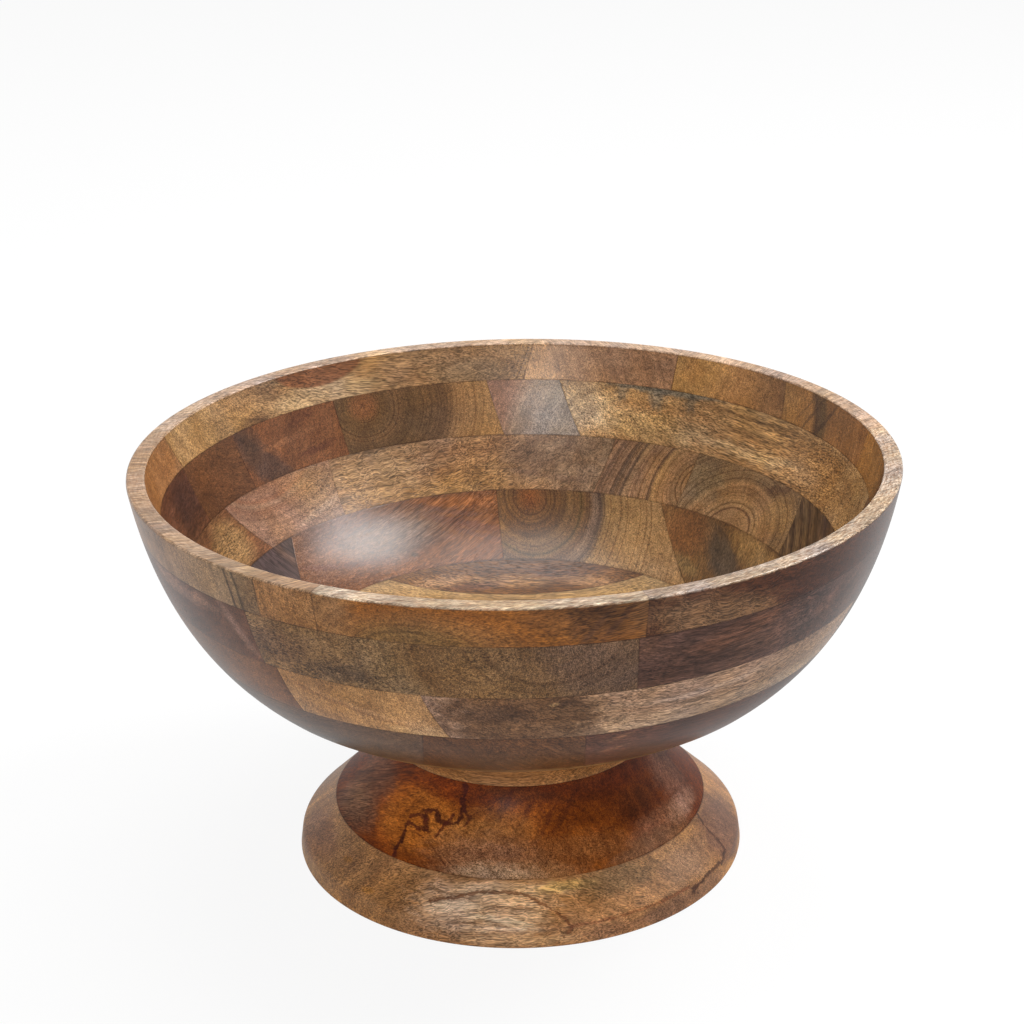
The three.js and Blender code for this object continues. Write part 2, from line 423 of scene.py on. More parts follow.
class NodeSheet:
    """Adds nodes to a node tree and joins them."""

    LENGTHS = ("LENGTH", "DOT_PRODUCT")
    MIDDLE = (0.5, 0.5, 0.5)

    def __init__(self, tree: NodeTree) -> None:
        """Work on a node tree."""
        self.tree = tree

    def feed(self, socket: NodeSocket, value: Value) -> None:
        """Link a socket to another one, or set its value.

        Args:
            socket: The socket.
            value: Its value, or the socket that feeds it.
        """
        if isinstance(value, NodeSocket):
            self.tree.links.new(value, socket)
        else:
            socket.default_value = value

    def node(self, kind: str, inputs: dict | None = None, **settings: object) -> Node:
        """Add a node.

        Args:
            kind: Type of the node.
            inputs: Values or sockets for its inputs, by name or number.
            **settings: Settings of the node itself.

        Returns:
            The node.
        """
        made = self.tree.nodes.new(kind)
        for name, value in settings.items():
            setattr(made, name, value)
        for socket, value in (inputs or {}).items():
            self.feed(made.inputs[socket], value)
        return made

    def group(self, tree: NodeTree, inputs: dict) -> Node:
        """Place a node group with its own values."""
        return self.node("ShaderNodeGroup", inputs, node_tree=tree)

    def math(self, operation: str, *values: Value, clamp: bool = False) -> NodeSocket:
        """Result of a sum of plain numbers.

        Args:
            operation: Blender's name of the sum.
            *values: Numbers or sockets that it takes.
            clamp: Whether the result stays between 0 and 1.

        Returns:
            The socket of the result.
        """
        made = self.node("ShaderNodeMath", operation=operation, use_clamp=clamp)
        for socket, value in zip(made.inputs, values):
            self.feed(socket, value)
        return made.outputs[0]

    def vector(self, operation: str, *values: Value) -> NodeSocket:
        """Result of a sum of vectors, as a vector or as a number where the sum gives one.

        Args:
            operation: Blender's name of the sum.
            *values: Vectors, numbers or sockets that it takes.

        Returns:
            The socket of the result.
        """
        made = self.node("ShaderNodeVectorMath", operation=operation)
        if operation == "SCALE":
            self.feed(made.inputs["Vector"], values[0])
            self.feed(made.inputs["Scale"], values[1])
        else:
            for socket, value in zip(made.inputs, values):
                self.feed(socket, value)
        return made.outputs["Value" if operation in self.LENGTHS else "Vector"]

    def ramp(
        self, value: Value, low: Value, high: Value, start: Value = 0.0, end: Value = 1.0
    ) -> NodeSocket:
        """Smooth step of a value between two bounds.

        Args:
            value: The value.
            low: Bound where the step starts.
            high: Bound where it ends.
            start: Result up to the low bound.
            end: Result from the high bound on.

        Returns:
            The socket of the result.
        """
        inputs = {"Value": value, "From Min": low, "From Max": high, "To Min": start, "To Max": end}
        made = self.node("ShaderNodeMapRange", inputs, interpolation_type="SMOOTHSTEP")
        return made.outputs["Result"]

    def blend(self, share: Value, one: Value, other: Value) -> NodeSocket:
        """Colour a share of the way from one to the other.

        Args:
            share: The share.
            one: Colour at no share.
            other: Colour at a full share.

        Returns:
            The socket of the result.
        """
        made = self.node("ShaderNodeMix", data_type="RGBA")
        for number, value in ((0, share), (6, one), (7, other)):
            self.feed(made.inputs[number], value)
        return made.outputs[2]

    def between(self, share: Value, one: Value, other: Value) -> NodeSocket:
        """Number a share of the way from one to the other.

        Args:
            share: The share.
            one: Number at no share.
            other: Number at a full share.

        Returns:
            The socket of the result.
        """
        made = self.node("ShaderNodeMix", data_type="FLOAT")
        for number, value in ((0, share), (2, one), (3, other)):
            self.feed(made.inputs[number], value)
        return made.outputs[0]

    def noise(self, place: Value, detail: float = 2.0, roughness: float = 0.5) -> Node:
        """Cloudy noise at a place, with features about one unit wide."""
        inputs = {"Vector": place, "Scale": 1.0, "Detail": detail, "Roughness": roughness}
        return self.node("ShaderNodeTexNoise", inputs, noise_dimensions="3D")

    def noise_line(self, along: Value, detail: float = 2.0, roughness: float = 0.5) -> NodeSocket:
        """Noise that changes along one number, with features about one unit wide."""
        inputs = {"W": along, "Scale": 1.0, "Detail": detail, "Roughness": roughness}
        return self.node("ShaderNodeTexNoise", inputs, noise_dimensions="1D").outputs[0]

    def shift(self, cloud: Node, reach: Value) -> NodeSocket:
        """Shift that swings with the colour of a noise, by half the reach each way."""
        centred = self.vector("SUBTRACT", cloud.outputs["Color"], self.MIDDLE)
        return self.vector("SCALE", centred, reach)

    def place_mm(self) -> NodeSocket:
        """Place on the object in millimetres."""
        place = self.node("ShaderNodeTexCoord").outputs["Object"]
        return self.vector("SCALE", place, PER_METRE)

    def local_mm(self, centre: Value, turn: Value) -> NodeSocket:
        """Place on the object in millimetres, in turned axes that start at a centre.

        Args:
            centre: The centre in metres.
            turn: Euler angles of the axes.

        Returns:
            The socket of the result.
        """
        here = self.node("ShaderNodeTexCoord").outputs["Object"]
        mapping = {"Vector": here, "Location": centre, "Rotation": turn, "Scale": (MM, MM, MM)}
        return self.node("ShaderNodeMapping", mapping, vector_type="TEXTURE").outputs[0]


class Socket(Enum):
    """Kinds of socket on a node group."""

    NUMBER = "NodeSocketFloat"
    VECTOR = "NodeSocketVector"
    COLOUR = "NodeSocketColor"


class EffectGroups:
    """Shader node groups that the woods share, each built once.

    A grid gives the waves of a noise in a millimetre, along the grain or wall and across it. A step gives
    the bounds of a smooth step, and a range the results at its two bounds. PORE_FADE and STROKE_WIDTHS give
    both: two bounds, then two results.
    """

    ACROSS = (0.0, 1.0, 1.0)
    LEVEL = (1.0, 1.0, 0.0)
    CLOUD_STEP = (0.3, 0.7)

    WANDER_GRID = (0.014, 0.04, 0.04)
    BAND_RATE = 0.6
    LINE_STEP = (0.5, 0.68)

    RIPPLE_GRID = (0.16, 0.05, 0.05)
    THREAD_GRID = (0.045, 0.9, 0.9)
    SPECKLE_GRID = (0.17, 1.9, 1.9)
    FLECK_GRID = (0.17, 2.5, 2.5)
    THICKET_GRID = (0.03, 0.12, 0.12)
    THICKET_RANGE = (0.55, 1.45)
    SPECKLE_SHARE = 0.35
    PORE_REACH = (0.2, 0.5)
    PORE_CORE = 0.45
    PORE_FADE = (0.0, 0.5, 0.35, 1.0)
    GRIT_DEPTH = (0.3, 0.33)
    GRIT_LIFT = 0.6
    GRIT_STEP = (0.36, 0.6)

    STREAK_GRID = (0.02, 0.13, 0.13)
    STREAK_BEND = 0.4
    PATCH_GRID = (0.09, 0.24, 0.24)
    PATCH_STRETCH = (2.4, 1.3, 1.3)
    STROKE_GRID = 0.3
    STROKE_WIDTH_GRID = 0.45
    STROKE_WIDTHS = (0.3, 0.65, 0.45, 1.5)
    STROKE_CORE = 0.3
    SEAM_STEP = (0.12, 0.42)
    SEAM_GRID = 0.09
    SEAM_RANGE = (0.2, 0.9)

    RIM_TOP_STEP = (RIM_TOP - 1.0, RIM_TOP - 0.25)
    RIM_MIDDLE = 150.0
    SAW_SKEW = 0.5
    SAW_GRID = (0.22, 1.1)

    DRIFT_GRID = 0.03
    DRIFT_RANGE = (0.86, 1.14)
    WARMTH_GRID = 0.045
    WARMTH_HUE = (0.25, 0.0, -0.8)
    DARK_STREAK = (0.66, 0.59, 0.54, 1.0)
    PALE_STREAK = (1.27, 1.3, 1.32, 1.0)
    LINE_TINT = (0.5, 0.41, 0.36)
    PORE_TINT = (0.38, 0.33, 0.3)
    PORE_STRENGTH = 0.62
    SEAM_TINT = (0.4, 0.35, 0.3)
    PORE_ROUGHNESS = 0.12
    FIBRE_ROUGHNESS = 0.08
    FIBRE_HEIGHT = 0.3

    def __init__(self) -> None:
        """Build all the groups."""
        self.timber = self._timber()
        self.growth = self._growth()
        self.fibres = self._fibres()
        self.streaks = self._streaks()
        self.patch = self._patch()
        self.stroke = self._stroke()
        self.seam = self._seam()
        self.rim_top = self._rim_top()
        self.lacquered = self._lacquered()

    def _open(
        self, name: str, inputs: dict[str, Socket], outputs: dict[str, Socket]
    ) -> tuple[NodeTree, NodeSheet, Sockets, Sockets]:
        """Start a node group.

        Args:
            name: Name of the group.
            inputs: Kind of each input, by name.
            outputs: Kind of each output, by name.

        Returns:
            The tree, a sheet to work on it, the input sockets and the output sockets.
        """
        tree = bpy.data.node_groups.new(name, "ShaderNodeTree")
        for label, kind in inputs.items():
            tree.interface.new_socket(name=label, in_out="INPUT", socket_type=kind.value)
        for label, kind in outputs.items():
            tree.interface.new_socket(name=label, in_out="OUTPUT", socket_type=kind.value)
        sheet = NodeSheet(tree)
        given = tree.nodes.new("NodeGroupInput").outputs
        result = tree.nodes.new("NodeGroupOutput").inputs
        return tree, sheet, given, result

    def _timber(self) -> NodeTree:
        """Place within the timber, with its length along the grain, and the distance from the pith.

        Returns:
            The node group.
        """
        inputs = dict.fromkeys(("Pith", "Grain"), Socket.VECTOR)
        inputs |= dict.fromkeys(("Wander", "Seed"), Socket.NUMBER)
        outputs = {"Place": Socket.VECTOR, "Distance": Socket.NUMBER}
        tree, sheet, given, result = self._open("Timber", inputs, outputs)
        straight = sheet.local_mm(given["Pith"], given["Grain"])
        slow = sheet.vector("MULTIPLY", straight, self.WANDER_GRID)
        seed = sheet.node("ShaderNodeCombineXYZ", {0: given["Seed"], 1: given["Seed"]}).outputs[0]
        cloud = sheet.noise(sheet.vector("ADD", slow, seed), detail=5.0, roughness=0.55)
        place = sheet.vector("ADD", straight, sheet.shift(cloud, given["Wander"]))
        across = sheet.vector("MULTIPLY", place, self.ACROSS)
        sheet.feed(result["Place"], place)
        sheet.feed(result["Distance"], sheet.vector("LENGTH", across))
        return tree

    def _growth(self) -> NodeTree:
        """Soft growth bands and thin dark growth lines.

        Returns:
            The node group.
        """
        inputs = {"Distance": Socket.NUMBER, "Spacing": Socket.NUMBER, "Seed": Socket.NUMBER}
        outputs = {"Bands": Socket.NUMBER, "Lines": Socket.NUMBER}
        tree, sheet, given, result = self._open("Growth", inputs, outputs)
        turns = sheet.math("ADD", sheet.math("DIVIDE", given["Distance"], given["Spacing"]), given["Seed"])
        bands = sheet.noise_line(sheet.math("MULTIPLY", turns, self.BAND_RATE), detail=4.0, roughness=0.72)
        lines = sheet.ramp(sheet.noise_line(turns, detail=3.0, roughness=0.7), *self.LINE_STEP)
        sheet.feed(result["Bands"], bands)
        sheet.feed(result["Lines"], lines)
        return tree

    def _fibres(self) -> NodeTree:
        """Fine fibres and dark pores that run along the grain, and show as dots on end grain.

        Returns:
            The node group.
        """
        sizes = ("Length", "Width", "Amount", "Ripple")
        inputs = {"Place": Socket.VECTOR, **dict.fromkeys(sizes, Socket.NUMBER)}
        outputs = dict.fromkeys(("Fibres", "Grit", "Pores"), Socket.NUMBER)
        tree, sheet, given, result = self._open("Fibres and pores", inputs, outputs)
        wave = sheet.noise(sheet.vector("MULTIPLY", given["Place"], self.RIPPLE_GRID), detail=1.0)
        place = sheet.vector("ADD", given["Place"], sheet.shift(wave, given["Ripple"]))
        threads = sheet.noise(sheet.vector("MULTIPLY", place, self.THREAD_GRID), detail=4.0, roughness=0.75)
        speckle = sheet.noise(sheet.vector("MULTIPLY", place, self.SPECKLE_GRID), detail=2.0, roughness=0.7)
        flecks = sheet.noise(sheet.vector("MULTIPLY", place, self.FLECK_GRID), detail=1.0, roughness=0.6)
        size = sheet.node("ShaderNodeCombineXYZ", {0: given["Length"], 1: given["Width"], 2: given["Width"]})
        cells = sheet.vector("DIVIDE", place, size.outputs[0])
        nearest = sheet.node("ShaderNodeTexVoronoi", {"Vector": cells, "Scale": 1.0}, voronoi_dimensions="3D")
        cloud = sheet.noise(sheet.vector("MULTIPLY", place, self.THICKET_GRID), detail=3.0).outputs[0]
        thicket = sheet.ramp(cloud, *self.CLOUD_STEP, *self.THICKET_RANGE)
        amount = sheet.math("MULTIPLY", given["Amount"], thicket)
        reach = sheet.between(amount, *self.PORE_REACH)
        core = sheet.math("MULTIPLY", reach, self.PORE_CORE)
        pores = sheet.ramp(nearest.outputs["Distance"], core, reach, 1.0, 0.0)
        fibres = sheet.between(self.SPECKLE_SHARE, threads.outputs[0], speckle.outputs[0])
        depth = sheet.math("MULTIPLY_ADD", amount, *self.GRIT_DEPTH)
        dark = sheet.math("SUBTRACT", 1.0, depth)
        pale = sheet.math("MULTIPLY_ADD", depth, self.GRIT_LIFT, 1.0)
        sheet.feed(result["Fibres"], fibres)
        sheet.feed(result["Grit"], sheet.ramp(flecks.outputs[0], *self.GRIT_STEP, dark, pale))
        sheet.feed(result["Pores"], sheet.math("MULTIPLY", pores, sheet.ramp(amount, *self.PORE_FADE)))
        return tree

    def _streaks(self) -> NodeTree:
        """Broad ragged streaks of darker and lighter wood that run along the grain.

        Returns:
            The node group.
        """
        inputs = {"Place": Socket.VECTOR, "Seed": Socket.NUMBER}
        tree, sheet, given, result = self._open("Streaks", inputs, {"Streaks": Socket.NUMBER})
        seed = sheet.node("ShaderNodeCombineXYZ", {1: given["Seed"], 2: given["Seed"]}).outputs[0]
        place = sheet.vector("ADD", sheet.vector("MULTIPLY", given["Place"], self.STREAK_GRID), seed)
        broad = sheet.noise(place, detail=6.0, roughness=0.7)
        broad.inputs["Distortion"].default_value = self.STREAK_BEND
        sheet.feed(result["Streaks"], sheet.ramp(broad.outputs[0], *self.CLOUD_STEP))
        return tree

    def _patch(self) -> NodeTree:
        """Mask of an oval patch with a ragged edge.

        Returns:
            The node group.
        """
        inputs = dict.fromkeys(("Centre", "Turn", "Size"), Socket.VECTOR)
        inputs |= dict.fromkeys(("Ragged", "Softness"), Socket.NUMBER)
        tree, sheet, given, result = self._open("Patch", inputs, {"Mask": Socket.NUMBER})
        local = sheet.local_mm(given["Centre"], given["Turn"])
        stretched = sheet.vector("MULTIPLY", local, self.PATCH_GRID)
        cloud = sheet.noise(stretched, detail=5.0, roughness=0.7)
        shift = sheet.vector("MULTIPLY", sheet.shift(cloud, given["Ragged"]), self.PATCH_STRETCH)
        moved = sheet.vector("ADD", local, shift)
        reach = sheet.vector("LENGTH", sheet.vector("DIVIDE", moved, given["Size"]))
        inside = sheet.math("SUBTRACT", 1.0, given["Softness"])
        outside = sheet.math("ADD", 1.0, given["Softness"])
        sheet.feed(result["Mask"], sheet.ramp(reach, inside, outside, 1.0, 0.0))
        return tree

    def _stroke(self) -> NodeTree:
        """Mask of a thin ragged line between two points.

        Returns:
            The node group.
        """
        inputs = dict.fromkeys(("From", "To"), Socket.VECTOR)
        inputs |= dict.fromkeys(("Width", "Ragged"), Socket.NUMBER)
        tree, sheet, given, result = self._open("Stroke", inputs, {"Mask": Socket.NUMBER})
        here = sheet.place_mm()
        cloud = sheet.noise(sheet.vector("SCALE", here, self.STROKE_GRID), detail=3.0, roughness=0.6)
        shift = sheet.shift(cloud, given["Ragged"])
        moved = sheet.vector("SUBTRACT", sheet.vector("ADD", here, shift), given["From"])
        line = sheet.vector("SUBTRACT", given["To"], given["From"])
        along = sheet.vector("DOT_PRODUCT", moved, line)
        share = sheet.math("DIVIDE", along, sheet.vector("DOT_PRODUCT", line, line), clamp=True)
        reach = sheet.vector("LENGTH", sheet.vector("SUBTRACT", moved, sheet.vector("SCALE", line, share)))
        thin = sheet.noise(sheet.vector("SCALE", here, self.STROKE_WIDTH_GRID), detail=2.0).outputs[0]
        width = sheet.math("MULTIPLY", given["Width"], sheet.ramp(thin, *self.STROKE_WIDTHS))
        core = sheet.math("MULTIPLY", width, self.STROKE_CORE)
        sheet.feed(result["Mask"], sheet.ramp(reach, core, width, 1.0, 0.0))
        return tree

    def _seam(self) -> NodeTree:
        """Mask of the glue lines round a block: two level ones and two upright ones.

        Returns:
            The node group.
        """
        inputs = {
            "Lower": Socket.NUMBER,
            "Upper": Socket.NUMBER,
            "Start": Socket.VECTOR,
            "Start offset": Socket.NUMBER,
            "End": Socket.VECTOR,
            "End offset": Socket.NUMBER,
        }
        tree, sheet, given, result = self._open("Glue line", inputs, {"Mask": Socket.NUMBER})
        here = sheet.place_mm()
        height = sheet.node("ShaderNodeSeparateXYZ", {0: here}).outputs["Z"]
        near = [sheet.math("ABSOLUTE", sheet.math("SUBTRACT", height, given[k])) for k in ("Lower", "Upper")]
        for side in ("Start", "End"):
            reach = sheet.vector("DOT_PRODUCT", here, given[side])
            near.append(sheet.math("ABSOLUTE", sheet.math("SUBTRACT", reach, given[side + " offset"])))
        closest = near[0]
        for other in near[1:]:
            closest = sheet.math("MINIMUM", closest, other)
        line = sheet.ramp(closest, *self.SEAM_STEP, 1.0, 0.0)
        cloud = sheet.noise(sheet.vector("SCALE", here, self.SEAM_GRID), detail=3.0).outputs[0]
        strength = sheet.ramp(cloud, *self.CLOUD_STEP, *self.SEAM_RANGE)
        sheet.feed(result["Mask"], sheet.math("MULTIPLY", line, strength))
        return tree

    def _rim_top(self) -> NodeTree:
        """Masks of the flat top of the rim: the whole top, where the painted highlight goes, fading over its
        eased edges, and the saw marks on it.

        Returns:
            The node group.
        """
        outputs = {"Top": Socket.NUMBER, "Marks": Socket.NUMBER}
        tree, sheet, _, result = self._open("Rim top", {}, outputs)
        here = sheet.place_mm()
        x, y, height = sheet.node("ShaderNodeSeparateXYZ", {0: here}).outputs
        top = sheet.ramp(height, *self.RIM_TOP_STEP)
        angle = sheet.math("ARCTAN2", x, sheet.math("MULTIPLY", y, -1.0))
        radius = sheet.vector("LENGTH", sheet.vector("MULTIPLY", here, self.LEVEL))
        along = sheet.math("MULTIPLY", angle, self.RIM_MIDDLE)
        skewed = sheet.math("ADD", along, sheet.math("MULTIPLY", radius, self.SAW_SKEW))
        grid = {i: sheet.math("MULTIPLY", part, self.SAW_GRID[i]) for i, part in enumerate((skewed, radius))}
        marks = sheet.noise(sheet.node("ShaderNodeCombineXYZ", grid).outputs[0], detail=5.0, roughness=0.78)
        sheet.feed(result["Top"], top)
        sheet.feed(result["Marks"], marks.outputs[0])
        return tree

    def _lacquered(self) -> NodeTree:
        """Colour, roughness and relief of lacquered wood from its masks.

        Returns:
            The node group.
        """
        masks = ("Bands", "Lines", "Fibres", "Grit", "Pores", "Streaks", "Seam")
        strengths = ("Streak strength", "Band strength", "Line strength", "Fibre strength", "Dullness")
        inputs = {"Colour": Socket.COLOUR, **dict.fromkeys((*masks, *strengths), Socket.NUMBER)}
        outputs = {"Colour": Socket.COLOUR, "Roughness": Socket.NUMBER, "Height": Socket.NUMBER}
        tree, sheet, given, result = self._open("Lacquered wood", inputs, outputs)

        def swing(mask: str, strength: str) -> NodeSocket:
            """Factor that swings round 1 as a mask swings round a half."""
            centred = sheet.math("SUBTRACT", given[mask], 0.5)
            return sheet.math("MULTIPLY_ADD", centred, given[strength], 1.0)

        here = sheet.place_mm()
        drift = sheet.noise(sheet.vector("SCALE", here, self.DRIFT_GRID), detail=3.0).outputs[0]
        tone = sheet.math("MULTIPLY", swing("Bands", "Band strength"), swing("Fibres", "Fibre strength"))
        tone = sheet.math("MULTIPLY", tone, sheet.ramp(drift, *self.CLOUD_STEP, *self.DRIFT_RANGE))
        tone = sheet.math("MULTIPLY", tone, given["Grit"])
        colour = sheet.vector("SCALE", given["Colour"], tone)
        cloud = sheet.noise(sheet.vector("SCALE", here, self.WARMTH_GRID), detail=3.0).outputs[0]
        warmth = sheet.math("SUBTRACT", cloud, 0.5)
        hue = sheet.vector("MULTIPLY_ADD", warmth, self.WARMTH_HUE, WHITE[:3])
        colour = sheet.vector("MULTIPLY", colour, hue)
        streaked = sheet.blend(given["Streaks"], self.DARK_STREAK, self.PALE_STREAK)
        streaked = sheet.vector("MULTIPLY", colour, streaked)
        colour = sheet.blend(given["Streak strength"], colour, streaked)
        lines = sheet.math("MULTIPLY", given["Lines"], given["Line strength"])
        colour = sheet.blend(lines, colour, sheet.vector("MULTIPLY", colour, self.LINE_TINT))
        pores = sheet.math("MULTIPLY", given["Pores"], self.PORE_STRENGTH)
        colour = sheet.blend(pores, colour, sheet.vector("MULTIPLY", colour, self.PORE_TINT))
        colour = sheet.blend(given["Seam"], colour, sheet.vector("MULTIPLY", colour, self.SEAM_TINT))
        rough = sheet.math("MULTIPLY_ADD", given["Pores"], self.PORE_ROUGHNESS, given["Dullness"])
        rough = sheet.math("MULTIPLY_ADD", given["Fibres"], self.FIBRE_ROUGHNESS, rough)
        dips = sheet.math("MULTIPLY", sheet.math("ADD", given["Pores"], given["Seam"]), -1.0)
        height = sheet.math("MULTIPLY_ADD", given["Fibres"], self.FIBRE_HEIGHT, dips)
        sheet.feed(result["Colour"], colour)
        sheet.feed(result["Roughness"], rough)
        sheet.feed(result["Height"], height)
        return tree


# Finishes


class Slot(Enum):
    """Material slots of the record."""

    BLOND = "wood_blond"
    TAN = "wood_tan"
    HONEY = "wood_honey"
    RUSSET = "wood_russet"
    BROWN = "wood_brown"
    OLIVE = "wood_olive"
    UMBER = "wood_umber"
    PLUM = "wood_plum"
    AMBER = "wood_amber"
    BEECH = "wood_beech"


@dataclass(frozen=True)
class Zone:
    """Colour of the wood at a distance from the pith, with how thickly pores fleck it there."""

    distance: float
    colour: str
    flecks: float = 0.3


@dataclass(frozen=True)
class Spot:
    """Place on a turned face."""

    azimuth: float
    height: float
    face: BowlFace | Cove = OUTER

    PROBE = 0.5

    def point(self) -> Vector:
        """The place in millimetres."""
        return outward(self.azimuth) * self.face.radius(self.height) + Vector((0, 0, self.height))

    def turn(self, tilt: float) -> tuple[float, float, float]:
        """Turn of axes that lie along the wall, up the wall and out of it, tilted within the wall.

        Args:
            tilt: Degrees that the first axis rises from the level.

        Returns:
            Euler angles of the axes.
        """
        lift = self.face.radius(self.height + self.PROBE) - self.face.radius(self.height - self.PROBE)
        up = (outward(self.azimuth) * lift + Vector((0, 0, 2 * self.PROBE))).normalized()
        along = sideways(self.azimuth)
        out = along.cross(up)
        angle = math.radians(tilt)
        first = along * math.cos(angle) + up * math.sin(angle)
        return tuple(Matrix((first, out.cross(first), out)).transposed().to_euler())


@dataclass(frozen=True)
class Patch:
    """Stain, knot or streak of another colour in a board, or a painted shade, highlight or sheen laid over
    it.
    """

    spot: Spot
    along: float
    up: float
    colour: str
    strength: float = 0.75
    tilt: float = 0.0
    through: float = 4.5
    ragged: float = 5.0
    softness: float = 0.45
    flecks: float | None = None


@dataclass(frozen=True)
class Stroke:
    """Thin dark line, such as spalt leaves, through some places on a face."""

    places: tuple[tuple[float, float], ...]
    face: BowlFace | Cove
    colour: str
    width: float = 0.7
    strength: float = 0.85
    ragged: float = 1.6

    def points(self) -> list[Vector]:
        """The places in millimetres."""
        return [Spot(azimuth, height, self.face).point() for azimuth, height in self.places]


@dataclass(frozen=True)
class Grain:
    """Pith line of a board: a point on it, and its lean from the wall and rise from the level there."""

    azimuth: float
    height: float
    radius: float
    lean: float
    rise: float = 0.0

    def point(self) -> Vector:
        """Point of the pith line in metres."""
        return (outward(self.azimuth) * self.radius + Vector((0, 0, self.height))) * MM

    def turn(self) -> tuple[float, float, float]:
        """Turn of axes whose first one lies along the grain.

        Returns:
            Euler angles of the axes.
        """
        lean, rise = math.radians(self.lean), math.radians(self.rise)
        level = sideways(self.azimuth) * math.cos(lean) + outward(self.azimuth) * math.sin(lean)
        along = level * math.cos(rise) + Vector((0, 0, math.sin(rise)))
        across = Vector((0, 0, 1)).cross(along).normalized()
        return tuple(Matrix((along, across, along.cross(across))).transposed().to_euler())


@dataclass(frozen=True)
class Seams:
    """Glue lines round a piece: heights of the level ones, normals and offsets of the upright ones."""

    lower: float = -FAR
    upper: float = FAR
    start: Vector = BACK
    start_offset: float = -FAR
    end: Vector = BACK
    end_offset: float = FAR


@dataclass(frozen=True)
class Board:
    """Timber of one piece under clear satin lacquer."""

    slot: Slot
    grain: Grain
    zones: tuple[Zone, ...]
    patches: tuple[Patch, ...] = ()
    strokes: tuple[Stroke, ...] = ()
    spacing: float = 2.4
    wander: float = 5.0
    bands: float = 0.7
    lines: float = 0.22
    fibres: float = 3.2
    streaks: float = 0.7
    pore_length: float = 3.4
    pore_width: float = 0.66
    ripple: float = 0.6
    dullness: float = 0.28
    gloss: float = 1.0
    # Colour of the rim's top: saw-cut wood, made paler by a painted highlight where the top faces up to the
    # light.
    lit_sawn_top: str = "#cab098"
    seed: float = 0.0

    SPECULAR = 0.3
    COAT = 0.14
    COAT_ROUGHNESS = 0.28
    IOR = 1.45
    RELIEF = 0.00004
    SAW_MARK = "#876b53"
    SAW_STEP = (0.36, 0.64)
    # How strongly the pale top, painted highlight included, covers the wood.
    LIT_TOP_STRENGTH = 0.75

    def material(
        self, name: str, groups: EffectGroups, seams: Seams, rim: bool = False
    ) -> bpy.types.Material:
        """Build the material.

        Args:
            name: Name of the piece that it is for.
            groups: The shared node groups.
            seams: Glue lines round the piece.
            rim: Whether the piece has part of the rim's top.

        Returns:
            The material.
        """
        made = bpy.data.materials.new(name)
        made.use_nodes = True
        tree = made.node_tree
        tree.nodes.clear()
        sheet = NodeSheet(tree)
        timber_inputs = {
            "Pith": self.grain.point(),
            "Grain": self.grain.turn(),
            "Wander": self.wander,
            "Seed": self.seed,
        }
        timber = sheet.group(groups.timber, timber_inputs)
        colour, flecks = self._zone_colour(sheet, timber.outputs["Distance"])
        for patch in self.patches:
            colour, flecks = self._patched(sheet, groups, patch, colour, flecks)
        for stroke in self.strokes:
            colour = self._stroked(sheet, groups, stroke, colour)
        growth_inputs = {"Distance": timber.outputs["Distance"], "Spacing": self.spacing, "Seed": self.seed}
        growth = sheet.group(groups.growth, growth_inputs)
        fibre_inputs = {
            "Place": timber.outputs["Place"],
            "Length": self.pore_length,
            "Width": self.pore_width,
            "Amount": flecks,
            "Ripple": self.ripple,
        }
        fibres = sheet.group(groups.fibres, fibre_inputs)
        streak_inputs = {"Place": timber.outputs["Place"], "Seed": self.seed}
        streaks = sheet.group(groups.streaks, streak_inputs)
        seam_inputs = {
            "Lower": seams.lower,
            "Upper": seams.upper,
            "Start": seams.start,
            "Start offset": seams.start_offset,
            "End": seams.end,
            "End offset": seams.end_offset,
        }
        seam = sheet.group(groups.seam, seam_inputs)
        # The rim's top gets pale saw-cut wood with a painted highlight.
        if rim:
            colour = self._paint_lit_top(sheet, groups, colour)
        wood_inputs = {
            "Colour": colour,
            "Bands": growth.outputs["Bands"],
            "Lines": growth.outputs["Lines"],
            "Fibres": fibres.outputs["Fibres"],
            "Grit": fibres.outputs["Grit"],
            "Pores": fibres.outputs["Pores"],
            "Streaks": streaks.outputs["Streaks"],
            "Seam": seam.outputs["Mask"],
            "Streak strength": self.streaks,
            "Band strength": self.bands,
            "Line strength": self.lines,
            "Fibre strength": self.fibres,
            "Dullness": self.dullness,
        }
        wood = sheet.group(groups.lacquered, wood_inputs)
        relief_inputs = {"Height": wood.outputs["Height"], "Strength": 1.0, "Distance": self.RELIEF}
        relief = sheet.node("ShaderNodeBump", relief_inputs)
        surface_inputs = {
            "Base Color": wood.outputs["Colour"],
            "Roughness": wood.outputs["Roughness"],
            "Normal": relief.outputs["Normal"],
            "IOR": self.IOR,
            "Specular IOR Level": self.SPECULAR * self.gloss,
            "Coat Weight": self.COAT * self.gloss,
            "Coat Roughness": self.COAT_ROUGHNESS,
        }
        surface = sheet.node("ShaderNodeBsdfPrincipled", surface_inputs)
        sheet.node("ShaderNodeOutputMaterial", {"Surface": surface.outputs[0]})
        return made

    def _zone_colour(self, sheet: NodeSheet, distance: NodeSocket) -> tuple[NodeSocket, NodeSocket]:
        """Colour and fleck amount by the distance from the pith.

        Args:
            sheet: Sheet of the material.
            distance: Distance from the pith in millimetres.

        Returns:
            The sockets of the colour and of the fleck amount.
        """
        reach = max(zone.distance for zone in self.zones) or 1.0
        ramp = sheet.node("ShaderNodeValToRGB", {0: sheet.math("DIVIDE", distance, reach)})
        stops = ramp.color_ramp.elements
        while len(stops) < len(self.zones):
            stops.new(1.0)
        while len(stops) > len(self.zones):
            stops.remove(stops[-1])
        for stop, zone in zip(stops, self.zones):
            stop.position = zone.distance / reach
            stop.color = (*paint(zone.colour)[:3], zone.flecks)
        return ramp.outputs["Color"], ramp.outputs["Alpha"]

